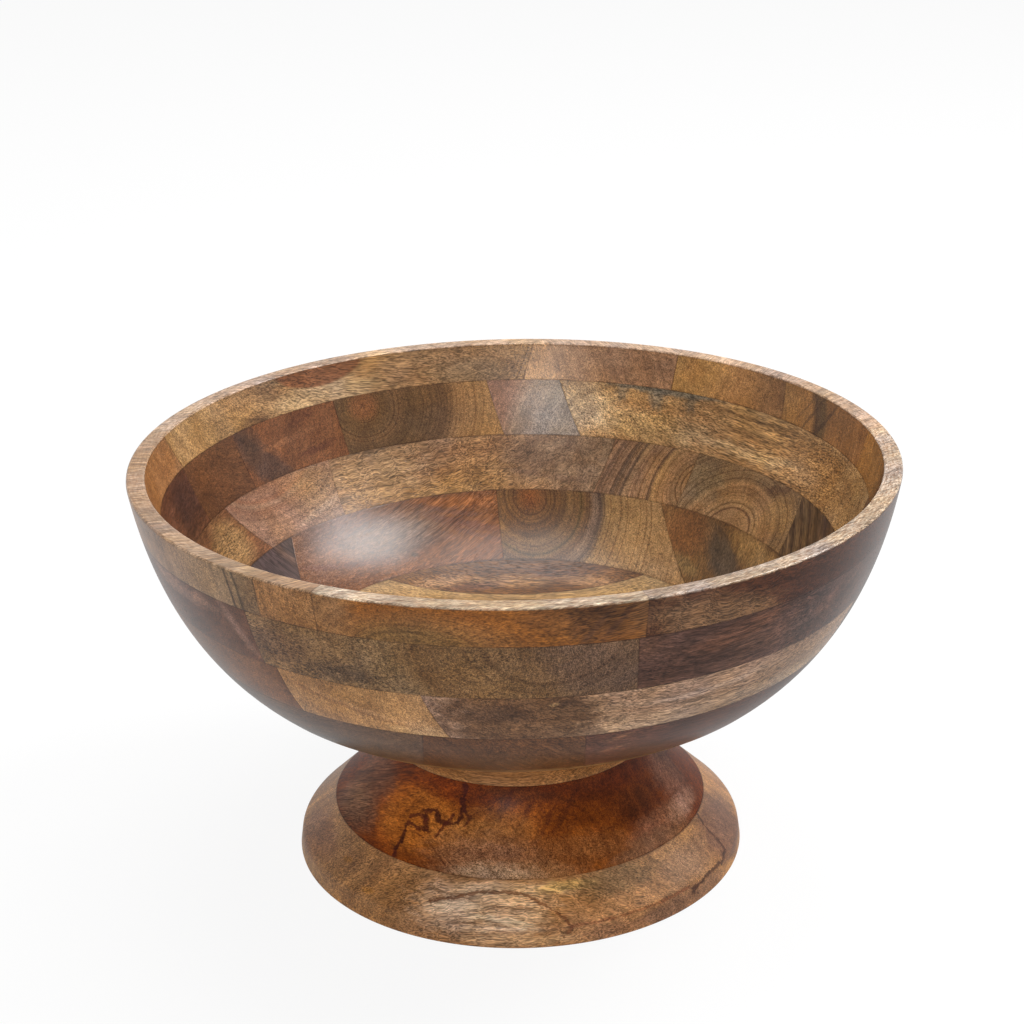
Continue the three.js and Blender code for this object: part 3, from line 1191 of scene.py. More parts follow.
    def _patched(
        self, sheet: NodeSheet, groups: EffectGroups, patch: Patch, colour: Value, flecks: Value
    ) -> tuple[Value, Value]:
        """Colour and fleck amount with a patch laid over them.

        Args:
            sheet: Sheet of the material.
            groups: The shared node groups.
            patch: The patch.
            colour: Colour under it.
            flecks: Fleck amount under it.

        Returns:
            The new colour and fleck amount.
        """
        inputs = {
            "Centre": patch.spot.point() * MM,
            "Turn": patch.spot.turn(patch.tilt),
            "Size": (patch.along, patch.up, patch.through),
            "Ragged": patch.ragged,
            "Softness": patch.softness,
        }
        mask = sheet.group(groups.patch, inputs).outputs["Mask"]
        share = sheet.math("MULTIPLY", mask, patch.strength)
        colour = sheet.blend(share, colour, paint(patch.colour))
        if patch.flecks is not None:
            flecks = sheet.between(mask, flecks, patch.flecks)
        return colour, flecks

    def _stroked(self, sheet: NodeSheet, groups: EffectGroups, stroke: Stroke, colour: Value) -> Value:
        """Colour with a thin line laid over it.

        Args:
            sheet: Sheet of the material.
            groups: The shared node groups.
            stroke: The line.
            colour: Colour under it.

        Returns:
            The new colour.
        """
        points = stroke.points()
        mask: Value = 0.0
        for start, end in zip(points, points[1:]):
            inputs = {"From": start, "To": end, "Width": stroke.width, "Ragged": stroke.ragged}
            piece = sheet.group(groups.stroke, inputs).outputs["Mask"]
            mask = sheet.math("MAXIMUM", mask, piece)
        return sheet.blend(sheet.math("MULTIPLY", mask, stroke.strength), colour, paint(stroke.colour))

    def _paint_lit_top(self, sheet: NodeSheet, groups: EffectGroups, colour: Value) -> Value:
        """Colour with the pale top of the rim laid over it: saw-cut wood with saw marks, made paler by a
        painted highlight where the top faces up to the light.

        Args:
            sheet: Sheet of the material.
            groups: The shared node groups.
            colour: Colour under it.

        Returns:
            The new colour.
        """
        top = sheet.group(groups.rim_top, {})
        marks = sheet.ramp(top.outputs["Marks"], *self.SAW_STEP)
        pale = sheet.blend(marks, paint(self.SAW_MARK), paint(self.lit_sawn_top))
        return sheet.blend(sheet.math("MULTIPLY", top.outputs["Top"], self.LIT_TOP_STRENGTH), colour, pale)


# Sub-assemblies


@dataclass(frozen=True)
class Joint:
    """Upright glue joint of a wall course: its azimuth in the wall's middle, and its skew from the radius."""

    azimuth: float
    skew: float = 0.0

    def at(self, radius: float, wall: float) -> float:
        """Azimuth where the joint crosses a circle, for a wall whose middle is at another radius."""
        turn = math.radians(self.skew)
        return self.azimuth + self.skew - math.degrees(math.asin(wall * math.sin(turn) / radius))

    def normal(self) -> Vector:
        """Level normal of the joint's plane."""
        return sideways(self.azimuth + self.skew)

    def offset(self, wall: float) -> float:
        """Distance of the joint's plane from the axis along its normal."""
        return -wall * math.sin(math.radians(self.skew))


@dataclass(frozen=True)
class Block:
    """Block of a wall course: the joint where it starts, and its timber."""

    joint: Joint
    board: Board


def dress(piece: bpy.types.Object, node: str, board: Board, material: bpy.types.Material) -> None:
    """Put a finished piece in place of its CAD node.

    Args:
        piece: The piece.
        node: Name of the CAD node that it stands for.
        board: Its timber.
        material: Its material.
    """
    piece.data.materials.append(material)
    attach(piece, "root")
    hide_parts(node)
    LOG.info("%s: %d faces, %s", piece.name, len(piece.data.polygons), board.slot.value)


@dataclass(frozen=True)
class WallCourse:
    """Ring of blocks that makes one course of the wall."""

    name: str
    base: float
    top: float
    blocks: tuple[Block, ...]
    is_rim: bool = False
    rim_ease: float = 1.0
    around_step: float = 1.25
    up_steps: int = 8
    ease_steps: int = 4
    least_steps: int = 2

    @property
    def middle(self) -> float:
        """Radius of the wall's middle at half the course's height."""
        height = (self.base + self.top) / 2
        return (OUTER.radius(height) + INNER.radius(height)) / 2

    def build(self, groups: EffectGroups) -> None:
        """Build and dress each block.

        Args:
            groups: The shared node groups.
        """
        for i, block in enumerate(self.blocks):
            following = self.blocks[(i + 1) % len(self.blocks)].joint
            if i + 1 == len(self.blocks):
                following = Joint(following.azimuth + FULL_TURN, following.skew)
            node = f"{self.name}_block_{i + 1}"
            piece = self._block_mesh(block.joint, following).object(f"{node}_turned")
            seams = Seams(
                self.base,
                FAR if self.is_rim else self.top,
                block.joint.normal(),
                block.joint.offset(self.middle),
                following.normal(),
                following.offset(self.middle),
            )
            material = block.board.material(f"{node}_wood", groups, seams, self.is_rim)
            dress(piece, node, block.board, material)

    def _block_mesh(self, start: Joint, end: Joint) -> TurnedMesh:
        """Mesh of a block between two joints.

        Args:
            start: Joint where it starts.
            end: Joint where it ends.

        Returns:
            The mesh.
        """
        steps = max(self.least_steps, round((end.azimuth - start.azimuth) / self.around_step))

        def azimuths(radius: float) -> list[float]:
            """Azimuths of the vertices at a radius."""
            first, last = start.at(radius, self.middle), end.at(radius, self.middle)
            return [mixed(first, last, i / steps) for i in range(steps + 1)]

        form = TurnedMesh()
        outer, inner = self._faces()
        low_in, low_out = inner[-1], outer[0]
        bottom = flat_run((low_in[-1].radius, self.base), (low_out[0].radius, self.base))
        top_out, top_in = outer[-1][-1], inner[0][0]
        top = flat_run((top_out.radius, top_out.height), (top_in.radius, top_in.height))
        rows = form.sweep([bottom, *outer, top, *inner], azimuths)[:-1]
        half = len(rows) // 2
        outside, inside = rows[1 : half + 1], [rows[0], *reversed(rows[half + 1 :])]
        for k in range(half - 1):
            quad = [outside[k], outside[k + 1], inside[k + 1], inside[k]]
            form.cap([row[0] for row in quad])
            form.cap([row[-1] for row in reversed(quad)])
        return form

    def _faces(self) -> tuple[list[Run], list[Run]]:
        """Runs up the outer face and down the inner face, with the rim's eased edges.

        Returns:
            The runs of the outer face and those of the inner face.
        """
        if not self.is_rim:
            outer = bowl_run(OUTER, self.base, self.top, self.up_steps)
            inner = bowl_run(INNER, self.top, self.base, self.up_steps)
            return [outer], [inner]
        shoulder = self.top - self.rim_ease
        outer = bowl_run(OUTER, self.base, shoulder, self.up_steps)
        inner = bowl_run(INNER, shoulder, self.base, self.up_steps)
        out_edge, in_edge = OUTER.radius(shoulder), INNER.radius(shoulder)
        outer_ease = Cove((out_edge, shoulder), (out_edge, self.top), (out_edge - self.rim_ease, self.top))
        inner_ease = Cove((in_edge + self.rim_ease, self.top), (in_edge, self.top), (in_edge, shoulder))
        return [outer, cove_run(outer_ease, self.ease_steps)], [cove_run(inner_ease, self.ease_steps), inner]


@dataclass(frozen=True)
class FloorCourse:
    """Boards side by side that make the bottom of the bowl."""

    boards: tuple[Board, ...]
    joints: tuple[float, ...] = (-45.0, 20.0, 66.7)
    neck_radius: float = 64.0
    limb_inset: float = 8.5
    limb_height: float = 79.0
    around_step: float = 2.0
    hollow_steps: int = 28
    limb_steps: int = 12
    base_steps: int = 4
    ledge_steps: int = 2

    @property
    def limb(self) -> Cove:
        """Underside that curves in from the wall to the neck."""
        edge = OUTER.radius(FOURTH_BASE)
        pull = (edge - self.limb_inset, self.limb_height)
        return Cove((self.neck_radius, FLOOR_BASE), pull, (edge, FOURTH_BASE))

    def build(self, groups: EffectGroups) -> None:
        """Build and dress each board.

        Args:
            groups: The shared node groups.
        """
        edges = [-FAR, *self.joints, FAR]
        for i, board in enumerate(self.boards):
            node = f"floor_board_{i + 1}"
            form = self._disc()
            if edges[i] > -FAR:
                form.slice(edges[i], keep_behind=True)
            if edges[i + 1] < FAR:
                form.slice(edges[i + 1], keep_behind=False)
            piece = form.object(f"{node}_turned")
            seams = Seams(FLOOR_BASE, FOURTH_BASE, BACK, edges[i], BACK, edges[i + 1])
            dress(piece, node, board, board.material(f"{node}_wood", groups, seams))

    def _disc(self) -> TurnedMesh:
        """Mesh of the whole floor before it is parted into boards.

        Returns:
            The mesh.
        """
        limb = cove_run(self.limb, self.limb_steps)
        inside = INNER.radius(FOURTH_BASE)
        runs = [
            flat_run((0.0, FLOOR_BASE), (self.neck_radius, FLOOR_BASE), self.base_steps),
            limb,
            flat_run((limb[-1].radius, FOURTH_BASE), (inside, FOURTH_BASE), self.ledge_steps),
            hollow_run(INNER, inside, self.hollow_steps),
        ]
        return turned_ring(runs, self.around_step)


def turned_ring(runs: Sequence[Run], around_step: float) -> TurnedMesh:
    """Mesh of an outline turned right round the axis.

    Args:
        runs: Runs of the outline, which starts and ends on the axis.
        around_step: Degrees between two vertices round the axis.

    Returns:
        The mesh.
    """
    steps = round(FULL_TURN / around_step)
    around = [FULL_TURN * i / steps for i in range(steps + 1)]

    def azimuths(_: float) -> list[float]:
        """Azimuths of the vertices, the same at every radius."""
        return around

    form = TurnedMesh()
    form.sweep(runs, azimuths)
    return form


@dataclass(frozen=True)
class NeckCollar:
    """Pale collar between the foot and the bowl."""

    board: Board
    curve: Cove = Cove((54.0, NECK_BASE), (55.5, 56.75), (64.0, FLOOR_BASE))
    around_step: float = 1.5
    up_steps: int = 10
    flat_steps: int = 3

    def build(self, groups: EffectGroups) -> None:
        """Build and dress the collar.

        Args:
            groups: The shared node groups.
        """
        runs = [
            flat_run((0.0, NECK_BASE), self.curve.start, self.flat_steps),
            cove_run(self.curve, self.up_steps),
            flat_run(self.curve.end, (0.0, FLOOR_BASE), self.flat_steps),
        ]
        piece = turned_ring(runs, self.around_step).object("neck_collar_turned")
        wood = self.board.material("neck_collar_wood", groups, Seams(NECK_BASE, FLOOR_BASE))
        dress(piece, "neck_collar", self.board, wood)


FOOT_COVE = Cove((75.8, FOOT_JOINT), (55.6, 39.0), (54.0, NECK_BASE))
FOOT_SLOPE = Cove((90.0, 7.5), (82.9, 14.25), (75.8, FOOT_JOINT))


@dataclass(frozen=True)
class Foot:
    """Turned foot: an upper block with a cove, on a wide base block."""

    upper: Board
    base: Board
    radius: float = 91.0
    arris_ease: float = 1.8
    edge_ease: float = 0.5
    around_step: float = 1.25
    flat_steps: int = 3
    cove_steps: int = 18
    edge_steps: int = 3
    arris_steps: int = 5
    slope_steps: int = 8

    def build(self, groups: EffectGroups) -> None:
        """Build and dress both blocks.

        Args:
            groups: The shared node groups.
        """
        upper_runs = [
            flat_run((0.0, FOOT_JOINT), FOOT_COVE.start, self.flat_steps),
            cove_run(FOOT_COVE, self.cove_steps),
            flat_run(FOOT_COVE.end, (0.0, NECK_BASE), self.flat_steps),
        ]
        piece = turned_ring(upper_runs, self.around_step).object("foot_upper_block_turned")
        wood = self.upper.material("foot_upper_wood", groups, Seams(FOOT_JOINT, NECK_BASE))
        dress(piece, "foot_upper_block", self.upper, wood)
        piece = turned_ring(self._base_runs(), self.around_step).object("foot_base_block_turned")
        wood = self.base.material("foot_base_wood", groups, Seams(upper=FOOT_JOINT))
        dress(piece, "foot_base_block", self.base, wood)

    def _base_runs(self) -> list[Run]:
        """Runs of the base block's outline, from the axis out, up and back.

        Returns:
            The runs in order.
        """
        arris = FOOT_SLOPE.start

        def from_arris(point: tuple[float, float]) -> tuple[float, float]:
            """Point at the ease's length from the arris towards another point.

            Args:
                point: Radius and height of the other point.

            Returns:
                Its radius and height.
            """
            along, up = point[0] - arris[0], point[1] - arris[1]
            share = self.arris_ease / math.hypot(along, up)
            return arris[0] + along * share, arris[1] + up * share

        low = (self.radius, self.edge_ease)
        below, above = from_arris(low), from_arris(FOOT_SLOPE.end)
        return [
            flat_run((0.0, 0.0), (self.radius - self.edge_ease, 0.0), self.flat_steps),
            cove_run(Cove((self.radius - self.edge_ease, 0.0), (self.radius, 0.0), low), self.edge_steps),
            flat_run(low, below, self.flat_steps),
            cove_run(Cove(below, arris, above), self.arris_steps),
            flat_run(above, FOOT_SLOPE.end, self.slope_steps),
            flat_run(FOOT_SLOPE.end, (0.0, FOOT_JOINT), self.flat_steps),
        ]


# Timber of each piece


def upright(
    azimuth: float, height: float, face: BowlFace | Cove = OUTER, lean: float = 90.0, rise: float = 0.0
) -> Grain:
    """Grain that meets a face at a place, straight through the wall unless it leans."""
    return Grain(azimuth, height, face.radius(height), lean, rise)


# The pale top colour given to each rim board is saw-cut wood with a painted highlight where the top faces up
# to the light.
RIM_BOARDS = (
    Board(
        Slot.RUSSET,
        upright(-62, 160),
        (Zone(0, "#815a35"), Zone(60, "#835c37"), Zone(90, "#8a613a")),
        spacing=1.6,
        fibres=4.4,
        pore_width=1.0,
        lit_sawn_top="#9f866c",
        seed=3.1,
    ),
    Board(
        Slot.HONEY,
        Grain(-16.7, 147.1, 148.9, 146.9, -7.9),
        (Zone(0, "#725430"), Zone(9, "#73542f"), Zone(14, "#80542a", 0.2), Zone(19, "#834e19", 0.12),
         Zone(24, "#845019", 0.12), Zone(26.5, "#66401b", 0.6), Zone(31, "#513924", 0.7)),
        patches=(
            Patch(Spot(-26, 160), 10, 14, "#835d38", 0.85, softness=0.5),
            Patch(Spot(4.5, 163.5), 12, 6, "#68401d", 0.7, tilt=-14, ragged=7),
            Patch(Spot(10.5, 160.5), 10, 11, "#4b2e18", 0.8, tilt=40, ragged=7, flecks=0.5),
            Patch(Spot(17.5, 160), 7, 10, "#6c4a2e", 0.6, ragged=6, flecks=0.5),
            Patch(Spot(10, 158), 9, 1.3, "#4a2f1e", 0.6, tilt=52, ragged=4),
            Patch(Spot(13.5, 161), 9, 1.2, "#44291b", 0.6, tilt=50, ragged=4),
        ),
        spacing=1.5,
        pore_width=0.9,
        lines=0.45,
        streaks=0.5,
        wander=3.0,
        lit_sawn_top="#d0c1a5",
        seed=7.7,
    ),
    Board(
        Slot.BROWN,
        upright(45, 150, lean=8),
        (Zone(0, "#422214"), Zone(14, "#472615", 0.35), Zone(40, "#512c16", 0.4)),
        patches=(
            Patch(Spot(27, 155.5), 28, 7.5, "#7e5c3d", 0.8, tilt=-10, ragged=11, softness=0.7, flecks=0.75),
            Patch(Spot(92, 160, INNER), 32, 14, "#a3723d", 0.85, ragged=9),
        ),
        ripple=3.0,
        lit_sawn_top="#c4b4a2",
        seed=1.3,
    ),
    Board(
        Slot.OLIVE,
        upright(131, 146, INNER),
        (Zone(0, "#977141", 0.25), Zone(28, "#9e703c", 0.2), Zone(36, "#976a3b"), Zone(39, "#5d432d", 0.4),
         Zone(44, "#6b5133", 0.4), Zone(48, "#8a6039", 0.25), Zone(80, "#8d6038", 0.2)),
        patches=(
            Patch(Spot(113, 158, INNER), 11, 1.0, "#4c3524", 0.7, tilt=-58, ragged=3),
            Patch(Spot(116.5, 160, INNER), 10, 0.8, "#513824", 0.6, tilt=-60, ragged=3),
            Patch(Spot(119, 160, INNER), 9, 0.7, "#5a4029", 0.5, tilt=-58, ragged=3),
        ),
        spacing=2.0,
        lines=0.3,
        streaks=0.5,
        seed=5.2,
    ),
    Board(
        Slot.HONEY,
        upright(152, 172, INNER),
        (Zone(0, "#a27742", 0.2), Zone(25, "#a77d47", 0.2), Zone(40, "#a57747", 0.2), Zone(60, "#90663d")),
        patches=(Patch(Spot(146, 161, INNER), 5, 5, "#ae7c43", 0.55, tilt=60),),
        spacing=3.0,
        seed=2.4,
    ),
    Board(
        Slot.RUSSET,
        upright(200, 150, INNER),
        (Zone(0, "#b69161", 0.25), Zone(60, "#b1875c", 0.25), Zone(90, "#9b7352", 0.2),
         Zone(120, "#966e4d", 0.2)),
        spacing=2.0,
        seed=9.1,
    ),
    Board(
        Slot.TAN,
        Grain(186.8, 156.2, 139.2, 161.7, -8.3),
        (Zone(0, "#775d41"), Zone(4, "#7c6144"), Zone(8, "#886745", 0.5), Zone(14, "#95724b", 0.6),
         Zone(30, "#9d7a4f", 0.4), Zone(60, "#a57f50", 0.25)),
        patches=(
            Patch(Spot(216, 155, INNER), 32, 6, "#b69973", 0.7, ragged=6, flecks=0.55),
            Patch(Spot(216.8, 171, INNER), 27, 12.5, "#744a2f", 0.95, ragged=1.4, softness=0.06, flecks=0.5),
            Patch(Spot(233, 152, INNER), 9, 4, "#563d2c", ragged=4),
        ),
        spacing=2.2,
        seed=4.4,
    ),
    Board(
        Slot.BLOND,
        upright(280, 160),
        (Zone(0, "#8c5d33", 0.2), Zone(40, "#855d3b", 0.2), Zone(70, "#846649", 0.35),
         Zone(90.6, "#876a4b", 0.35), Zone(91.4, "#3e2e1e", 0.4), Zone(92.3, "#7e6043", 0.4),
         Zone(93.8, "#796043", 0.4), Zone(94.6, "#3e2e1e", 0.4), Zone(95.6, "#71583e", 0.35),
         Zone(104, "#735840", 0.35)),
        patches=(
            Patch(Spot(264, 161, INNER), 16, 13, "#8a5f3a", 0.8, ragged=8),
            Patch(Spot(-62, 165), 24, 4.5, "#6a4c30", 0.6, ragged=6),
        ),
        wander=1.6,
        lit_sawn_top="#a58d76",
        seed=6.6,
    ),
)

SECOND_BOARDS = (
    Board(
        Slot.UMBER,
        Grain(5.1, 158.4, 148.3, 67.3, -4.5),
        (Zone(0, "#694b30", 0.4), Zone(30, "#6c5033", 0.45), Zone(42, "#6a4c2d", 0.4),
         Zone(50, "#785e40", 0.55), Zone(62, "#745739", 0.75), Zone(100, "#725436", 0.9)),
        patches=(
            Patch(Spot(-25.5, 135), 13, 4, "#4d3b2d", 0.6, ragged=7),
            Patch(Spot(-36, 141), 14, 7, "#5d3f2c", 0.5, ragged=8),
            Patch(Spot(-39, 148), 5, 3, "#96734c", 0.5),
            Patch(Spot(13, 141), 26, 15, "#543f34", ragged=9, softness=0.6, flecks=0.4),
        ),
        pore_width=1.35,
        fibres=4.8,
        lines=0.4,
        bands=0.6,
        streaks=0.5,
        seed=3.9,
    ),
    Board(
        Slot.PLUM,
        upright(45, 150, lean=14),
        (Zone(0, "#50362c", 0.25), Zone(20, "#53382c", 0.25), Zone(50, "#54392d")),
        patches=(
            Patch(Spot(46.5, 142), 14, 7, "#3f302e", 0.6, tilt=24, ragged=7),
            Patch(Spot(50, 143), 7, 3.5, "#6d4939", 0.5, tilt=24, ragged=6),
            Patch(Spot(32, 146), 20, 4, "#653e29", 0.5, tilt=10, ragged=7),
        ),
        fibres=4.2,
        pore_width=0.9,
        seed=8.2,
    ),
    Board(
        Slot.TAN,
        upright(130, 120, INNER, lean=2),
        (Zone(0, "#a47b4b", 0.6), Zone(16, "#9f784d", 0.65), Zone(24, "#a67e50", 0.6),
         Zone(40, "#977852", 0.5)),
        patches=(
            Patch(Spot(110, 144, INNER), 26, 5, "#92683b", 0.6, ragged=9),
            Patch(Spot(128, 135, INNER), 30, 3, "#c4a579", 0.5, tilt=-3, ragged=9),
            Patch(Spot(152, 136, INNER), 34, 6, "#ba9966", 0.6, ragged=9),
            Patch(Spot(166, 141, INNER), 14, 9, "#c4a880", 0.7, ragged=9, softness=0.7),
            Patch(Spot(150, 151.2, INNER), 34, 1.7, "#6f695b", 0.85, ragged=4, softness=0.6),
            Patch(Spot(152, 148.5, INNER), 6, 3.6, "#6f6656", 0.7, tilt=80, ragged=6),
            Patch(Spot(145, 148.5, INNER), 4, 3, "#6f6656", 0.6, tilt=70, ragged=6),
            Patch(Spot(159, 149, INNER), 4, 3, "#746a5a", 0.6, tilt=75, ragged=6),
        ),
        fibres=4.2,
        streaks=0.9,
        pore_length=2.8,
        pore_width=0.8,
        spacing=3.2,
        seed=5.8,
    ),
    Board(
        Slot.BROWN,
        upright(150, 128, INNER),
        # The light grey-brown near this block's start is partly grey stain in the wood and partly a painted
        # highlight of the front lamp.
        (Zone(0, "#958371", 0.35), Zone(52, "#8f7e6d", 0.35), Zone(64, "#8d735c"),
         Zone(70, "#87624a", 0.25), Zone(80, "#84604a", 0.25)),
        seed=1.9,
    ),
    Board(
        Slot.OLIVE,
        Grain(209.3, 147.2, 135.8, 66.3, -16.7),
        (Zone(0, "#533520"), Zone(1.3, "#774b2a", 0.25), Zone(4.6, "#744b2b", 0.25),
         Zone(7.6, "#634628", 0.25), Zone(12, "#5d4329", 0.2), Zone(15, "#684a2d", 0.2),
         Zone(20, "#5a4128", 0.2), Zone(25, "#62472c", 0.2), Zone(33, "#573d26", 0.2),
         Zone(38.5, "#86633f", 0.25), Zone(60, "#987140", 0.25)),
        spacing=1.05,
        wander=2.2,
        lines=0.58,
        bands=0.65,
        streaks=0.5,
        seed=0.7,
    ),
    Board(
        Slot.RUSSET,
        upright(185, 138, INNER),
        (Zone(0, "#6d4326", 0.2), Zone(70, "#704629", 0.2), Zone(100, "#6a4228", 0.2)),
        patches=(
            Patch(Spot(221, 135, INNER), 10, 1.8, "#4e2a1c", 0.6, tilt=-8, ragged=7),
            Patch(Spot(222.5, 149, INNER), 7, 3, "#553020", 0.5, tilt=-20, ragged=7),
            Patch(Spot(234, 136, INNER), 20, 7, "#42322b", tilt=48, ragged=9, softness=0.4),
            Patch(Spot(236.5, 149, INNER), 9, 5, "#443128", 0.65, tilt=40, ragged=8),
            Patch(Spot(226, 142, INNER), 16, 1.6, "#8a5c3c", 0.5, tilt=-6, ragged=7),
        ),
        seed=7.2,
    ),
    Board(
        Slot.BROWN,
        upright(262, 120, INNER, lean=40),
        (Zone(0, "#553620", 0.15), Zone(30, "#5a3821", 0.15), Zone(60, "#613f26", 0.15)),
        bands=0.35,
        seed=2.9,
    ),
    Board(
        Slot.PLUM,
        upright(300, 150, lean=30),
        (Zone(0, "#563322"), Zone(30, "#573522"), Zone(60, "#69412c")),
        patches=(
            Patch(Spot(-43, 142), 11, 2.4, "#8a6551", 0.6, tilt=-58, ragged=6, softness=0.6),
            Patch(Spot(-57, 148), 24, 3.4, "#97705a", 0.5, tilt=-4, ragged=8),
            Patch(Spot(262, 142, INNER), 14, 10, "#402820", 0.7, ragged=6),
        ),
        ripple=2.0,
        seed=6.1,
    ),
)

THIRD_BOARDS = (
    Board(
        Slot.BLOND,
        upright(-60, 96, lean=55, rise=14),
        (Zone(0, "#916941", 0.35), Zone(60, "#946c44", 0.35), Zone(90, "#987148", 0.35)),
        patches=(
            Patch(Spot(-14.5, 110.5), 14, 3, "#a78761", 0.5, ragged=6),
            Patch(Spot(-24, 118), 20, 1.6, "#ac835d", 0.5, tilt=-16, ragged=6),
            Patch(Spot(-29, 120), 18, 1.0, "#775034", 0.5, tilt=-18),
            Patch(Spot(-20, 114), 18, 0.9, "#7b5437", 0.45, tilt=-16),
        ),
        bands=0.3,
        lines=0.15,
        seed=4.9,
    ),
    Board(
        Slot.BROWN,
        upright(38, 104, lean=6),
        (Zone(0, "#967757", 0.5), Zone(8, "#9d7f62", 0.55), Zone(16, "#957457", 0.5),
         Zone(40, "#8f715d", 0.45)),
        patches=(
            Patch(Spot(0, 118), 35, 24, "#5a3d26", 0.92, ragged=12, flecks=0.35),
            Patch(Spot(-4, 122), 11, 5, "#453023", 0.6, ragged=6),
            Patch(Spot(5, 126), 1.5, 1.0, "#9c7a50", 0.7, ragged=2.4),
            Patch(Spot(6.4, 126.3), 2.4, 1.4, "#3f2c22", 0.6, ragged=2.4),
            Patch(Spot(38, 112), 40, 3, "#9f8166", 0.5, ragged=7),
            Patch(Spot(30, 122), 24, 1.8, "#a18670", 0.5, tilt=4, ragged=7),
            Patch(Spot(48, 118), 24, 1.6, "#7c5f4c", 0.5, tilt=3, ragged=7),
        ),
        fibres=3.8,
        streaks=0.85,
        ripple=1.5,
        seed=0.9,
    ),
    Board(
        Slot.UMBER,
        Grain(107.9, 124.4, 124.1, 28.0, 34.0),
        (Zone(0, "#4b3625", 0.2), Zone(3, "#6b5236", 0.2), Zone(5, "#402d1f", 0.2),
         Zone(8, "#6b5136", 0.2), Zone(10, "#42301f", 0.2), Zone(13, "#6d523a", 0.2),
         Zone(16, "#46332a", 0.2), Zone(22, "#654a33", 0.2), Zone(30, "#5a412c", 0.25)),
        spacing=2.0,
        lines=0.58,
        bands=0.9,
        streaks=0.5,
        seed=3.4,
    ),
    Board(
        Slot.TAN,
        Grain(126.4, 107.0, 112.1, 45.0, -39.8),
        (Zone(0, "#916d47", 0.2), Zone(8.5, "#8f6b46", 0.2), Zone(9.8, "#7d5b3d", 0.25),
         Zone(11, "#9a764d", 0.2), Zone(12.4, "#82623f"), Zone(13.6, "#99734a", 0.2), Zone(17, "#825f3b"),
         Zone(20, "#906a44", 0.25), Zone(23, "#765b3d", 0.35), Zone(27, "#826443"),
         Zone(36, "#765c3e", 0.35)),
        patches=(
            Patch(Spot(118, 126.5, INNER), 8, 2.6, "#583b26", 0.7, tilt=-20, ragged=6),
            Patch(Spot(114, 119, INNER), 10, 8, "#956f3f", 0.6, ragged=8),
            Patch(Spot(137, 119, INNER), 10, 9, "#6d5e48", 0.5, ragged=8),
        ),
        spacing=1.2,
        wander=2.2,
        lines=0.85,
        bands=0.55,
        streaks=0.5,
        seed=5.5,
    ),
    Board(
        Slot.OLIVE,
        Grain(139.4, 117.8, 120.4, 102.6, 0.4),
        (Zone(0, "#89643c", 0.2), Zone(10, "#775839", 0.25), Zone(12, "#906a45", 0.2),
         Zone(18, "#947046", 0.2), Zone(19.4, "#644935"), Zone(20.8, "#906c48", 0.2),
         Zone(26, "#836247", 0.25), Zone(29, "#8e6d4b", 0.2), Zone(30.4, "#543f2f"),
         Zone(31.4, "#8b6949", 0.2), Zone(33.6, "#543f2e"), Zone(35, "#896648", 0.2), Zone(39, "#694e3a"),
         Zone(40.5, "#856347", 0.2), Zone(45, "#816045", 0.2)),
        spacing=1.25,
        wander=2.4,
        lines=0.85,
        bands=0.8,
        streaks=0.5,
        seed=8.8,
    ),
    Board(
        Slot.BROWN,
        upright(214, 104, INNER, lean=2),
        (Zone(0, "#8d6c44", 0.7), Zone(10, "#8d683f", 0.75), Zone(20, "#886444", 0.6),
         Zone(40, "#765e46", 0.2), Zone(70, "#725d4d", 0.15)),
        patches=(
            Patch(Spot(210, 119, INNER), 26, 12, "#947758", 0.8, ragged=10, flecks=0.6),
            Patch(Spot(183.5, 117.5, INNER), 4, 3, "#98744a", 0.6, ragged=6),
            Patch(Spot(170, 119, INNER), 26, 12, "#81674f", 0.6, ragged=10, flecks=0.2),
            Patch(Spot(174, 114, INNER), 20, 1.4, "#634a3a", 0.5, tilt=8, ragged=6),
            Patch(Spot(166, 121, INNER), 16, 1.4, "#99795a", 0.5, tilt=12, ragged=6),
        ),
        fibres=4.2,
        streaks=0.95,
        pore_length=2.8,
        pore_width=0.8,
        ripple=3.4,
        seed=1.1,
    ),
    Board(
        Slot.RUSSET,
        Grain(233.0, 145.3, 123.1, 37.8, -7.0),
        (Zone(0, "#724c34", 0.2), Zone(15, "#765139", 0.2), Zone(19, "#8d6852", 0.2),
         Zone(21, "#7a533d", 0.25), Zone(23, "#94725b", 0.25), Zone(25, "#7c5844"),
         Zone(30, "#886754", 0.35), Zone(40, "#7b5c48")),
        patches=(
            Patch(Spot(223, 119, INNER), 17, 13, "#8d6d4e", 0.8, ragged=9, softness=0.6, flecks=0.65),
            Patch(Spot(226, 113, INNER), 14, 1.4, "#a78a6e", 0.5, tilt=-14, ragged=6),
        ),
        spacing=1.6,
        wander=2.6,
        lines=0.35,
        seed=9.6,
    ),
    Board(
        Slot.TAN,
        upright(290, 104, lean=24, rise=6),
        (Zone(0, "#654025", 0.25), Zone(30, "#69442b", 0.25), Zone(60, "#6c462c", 0.25)),
        patches=(Patch(Spot(256, 117, INNER), 14, 12, "#8a6a43", 0.85, ragged=6, flecks=0.6),),
        bands=0.35,
        seed=4.1,
    ),
)

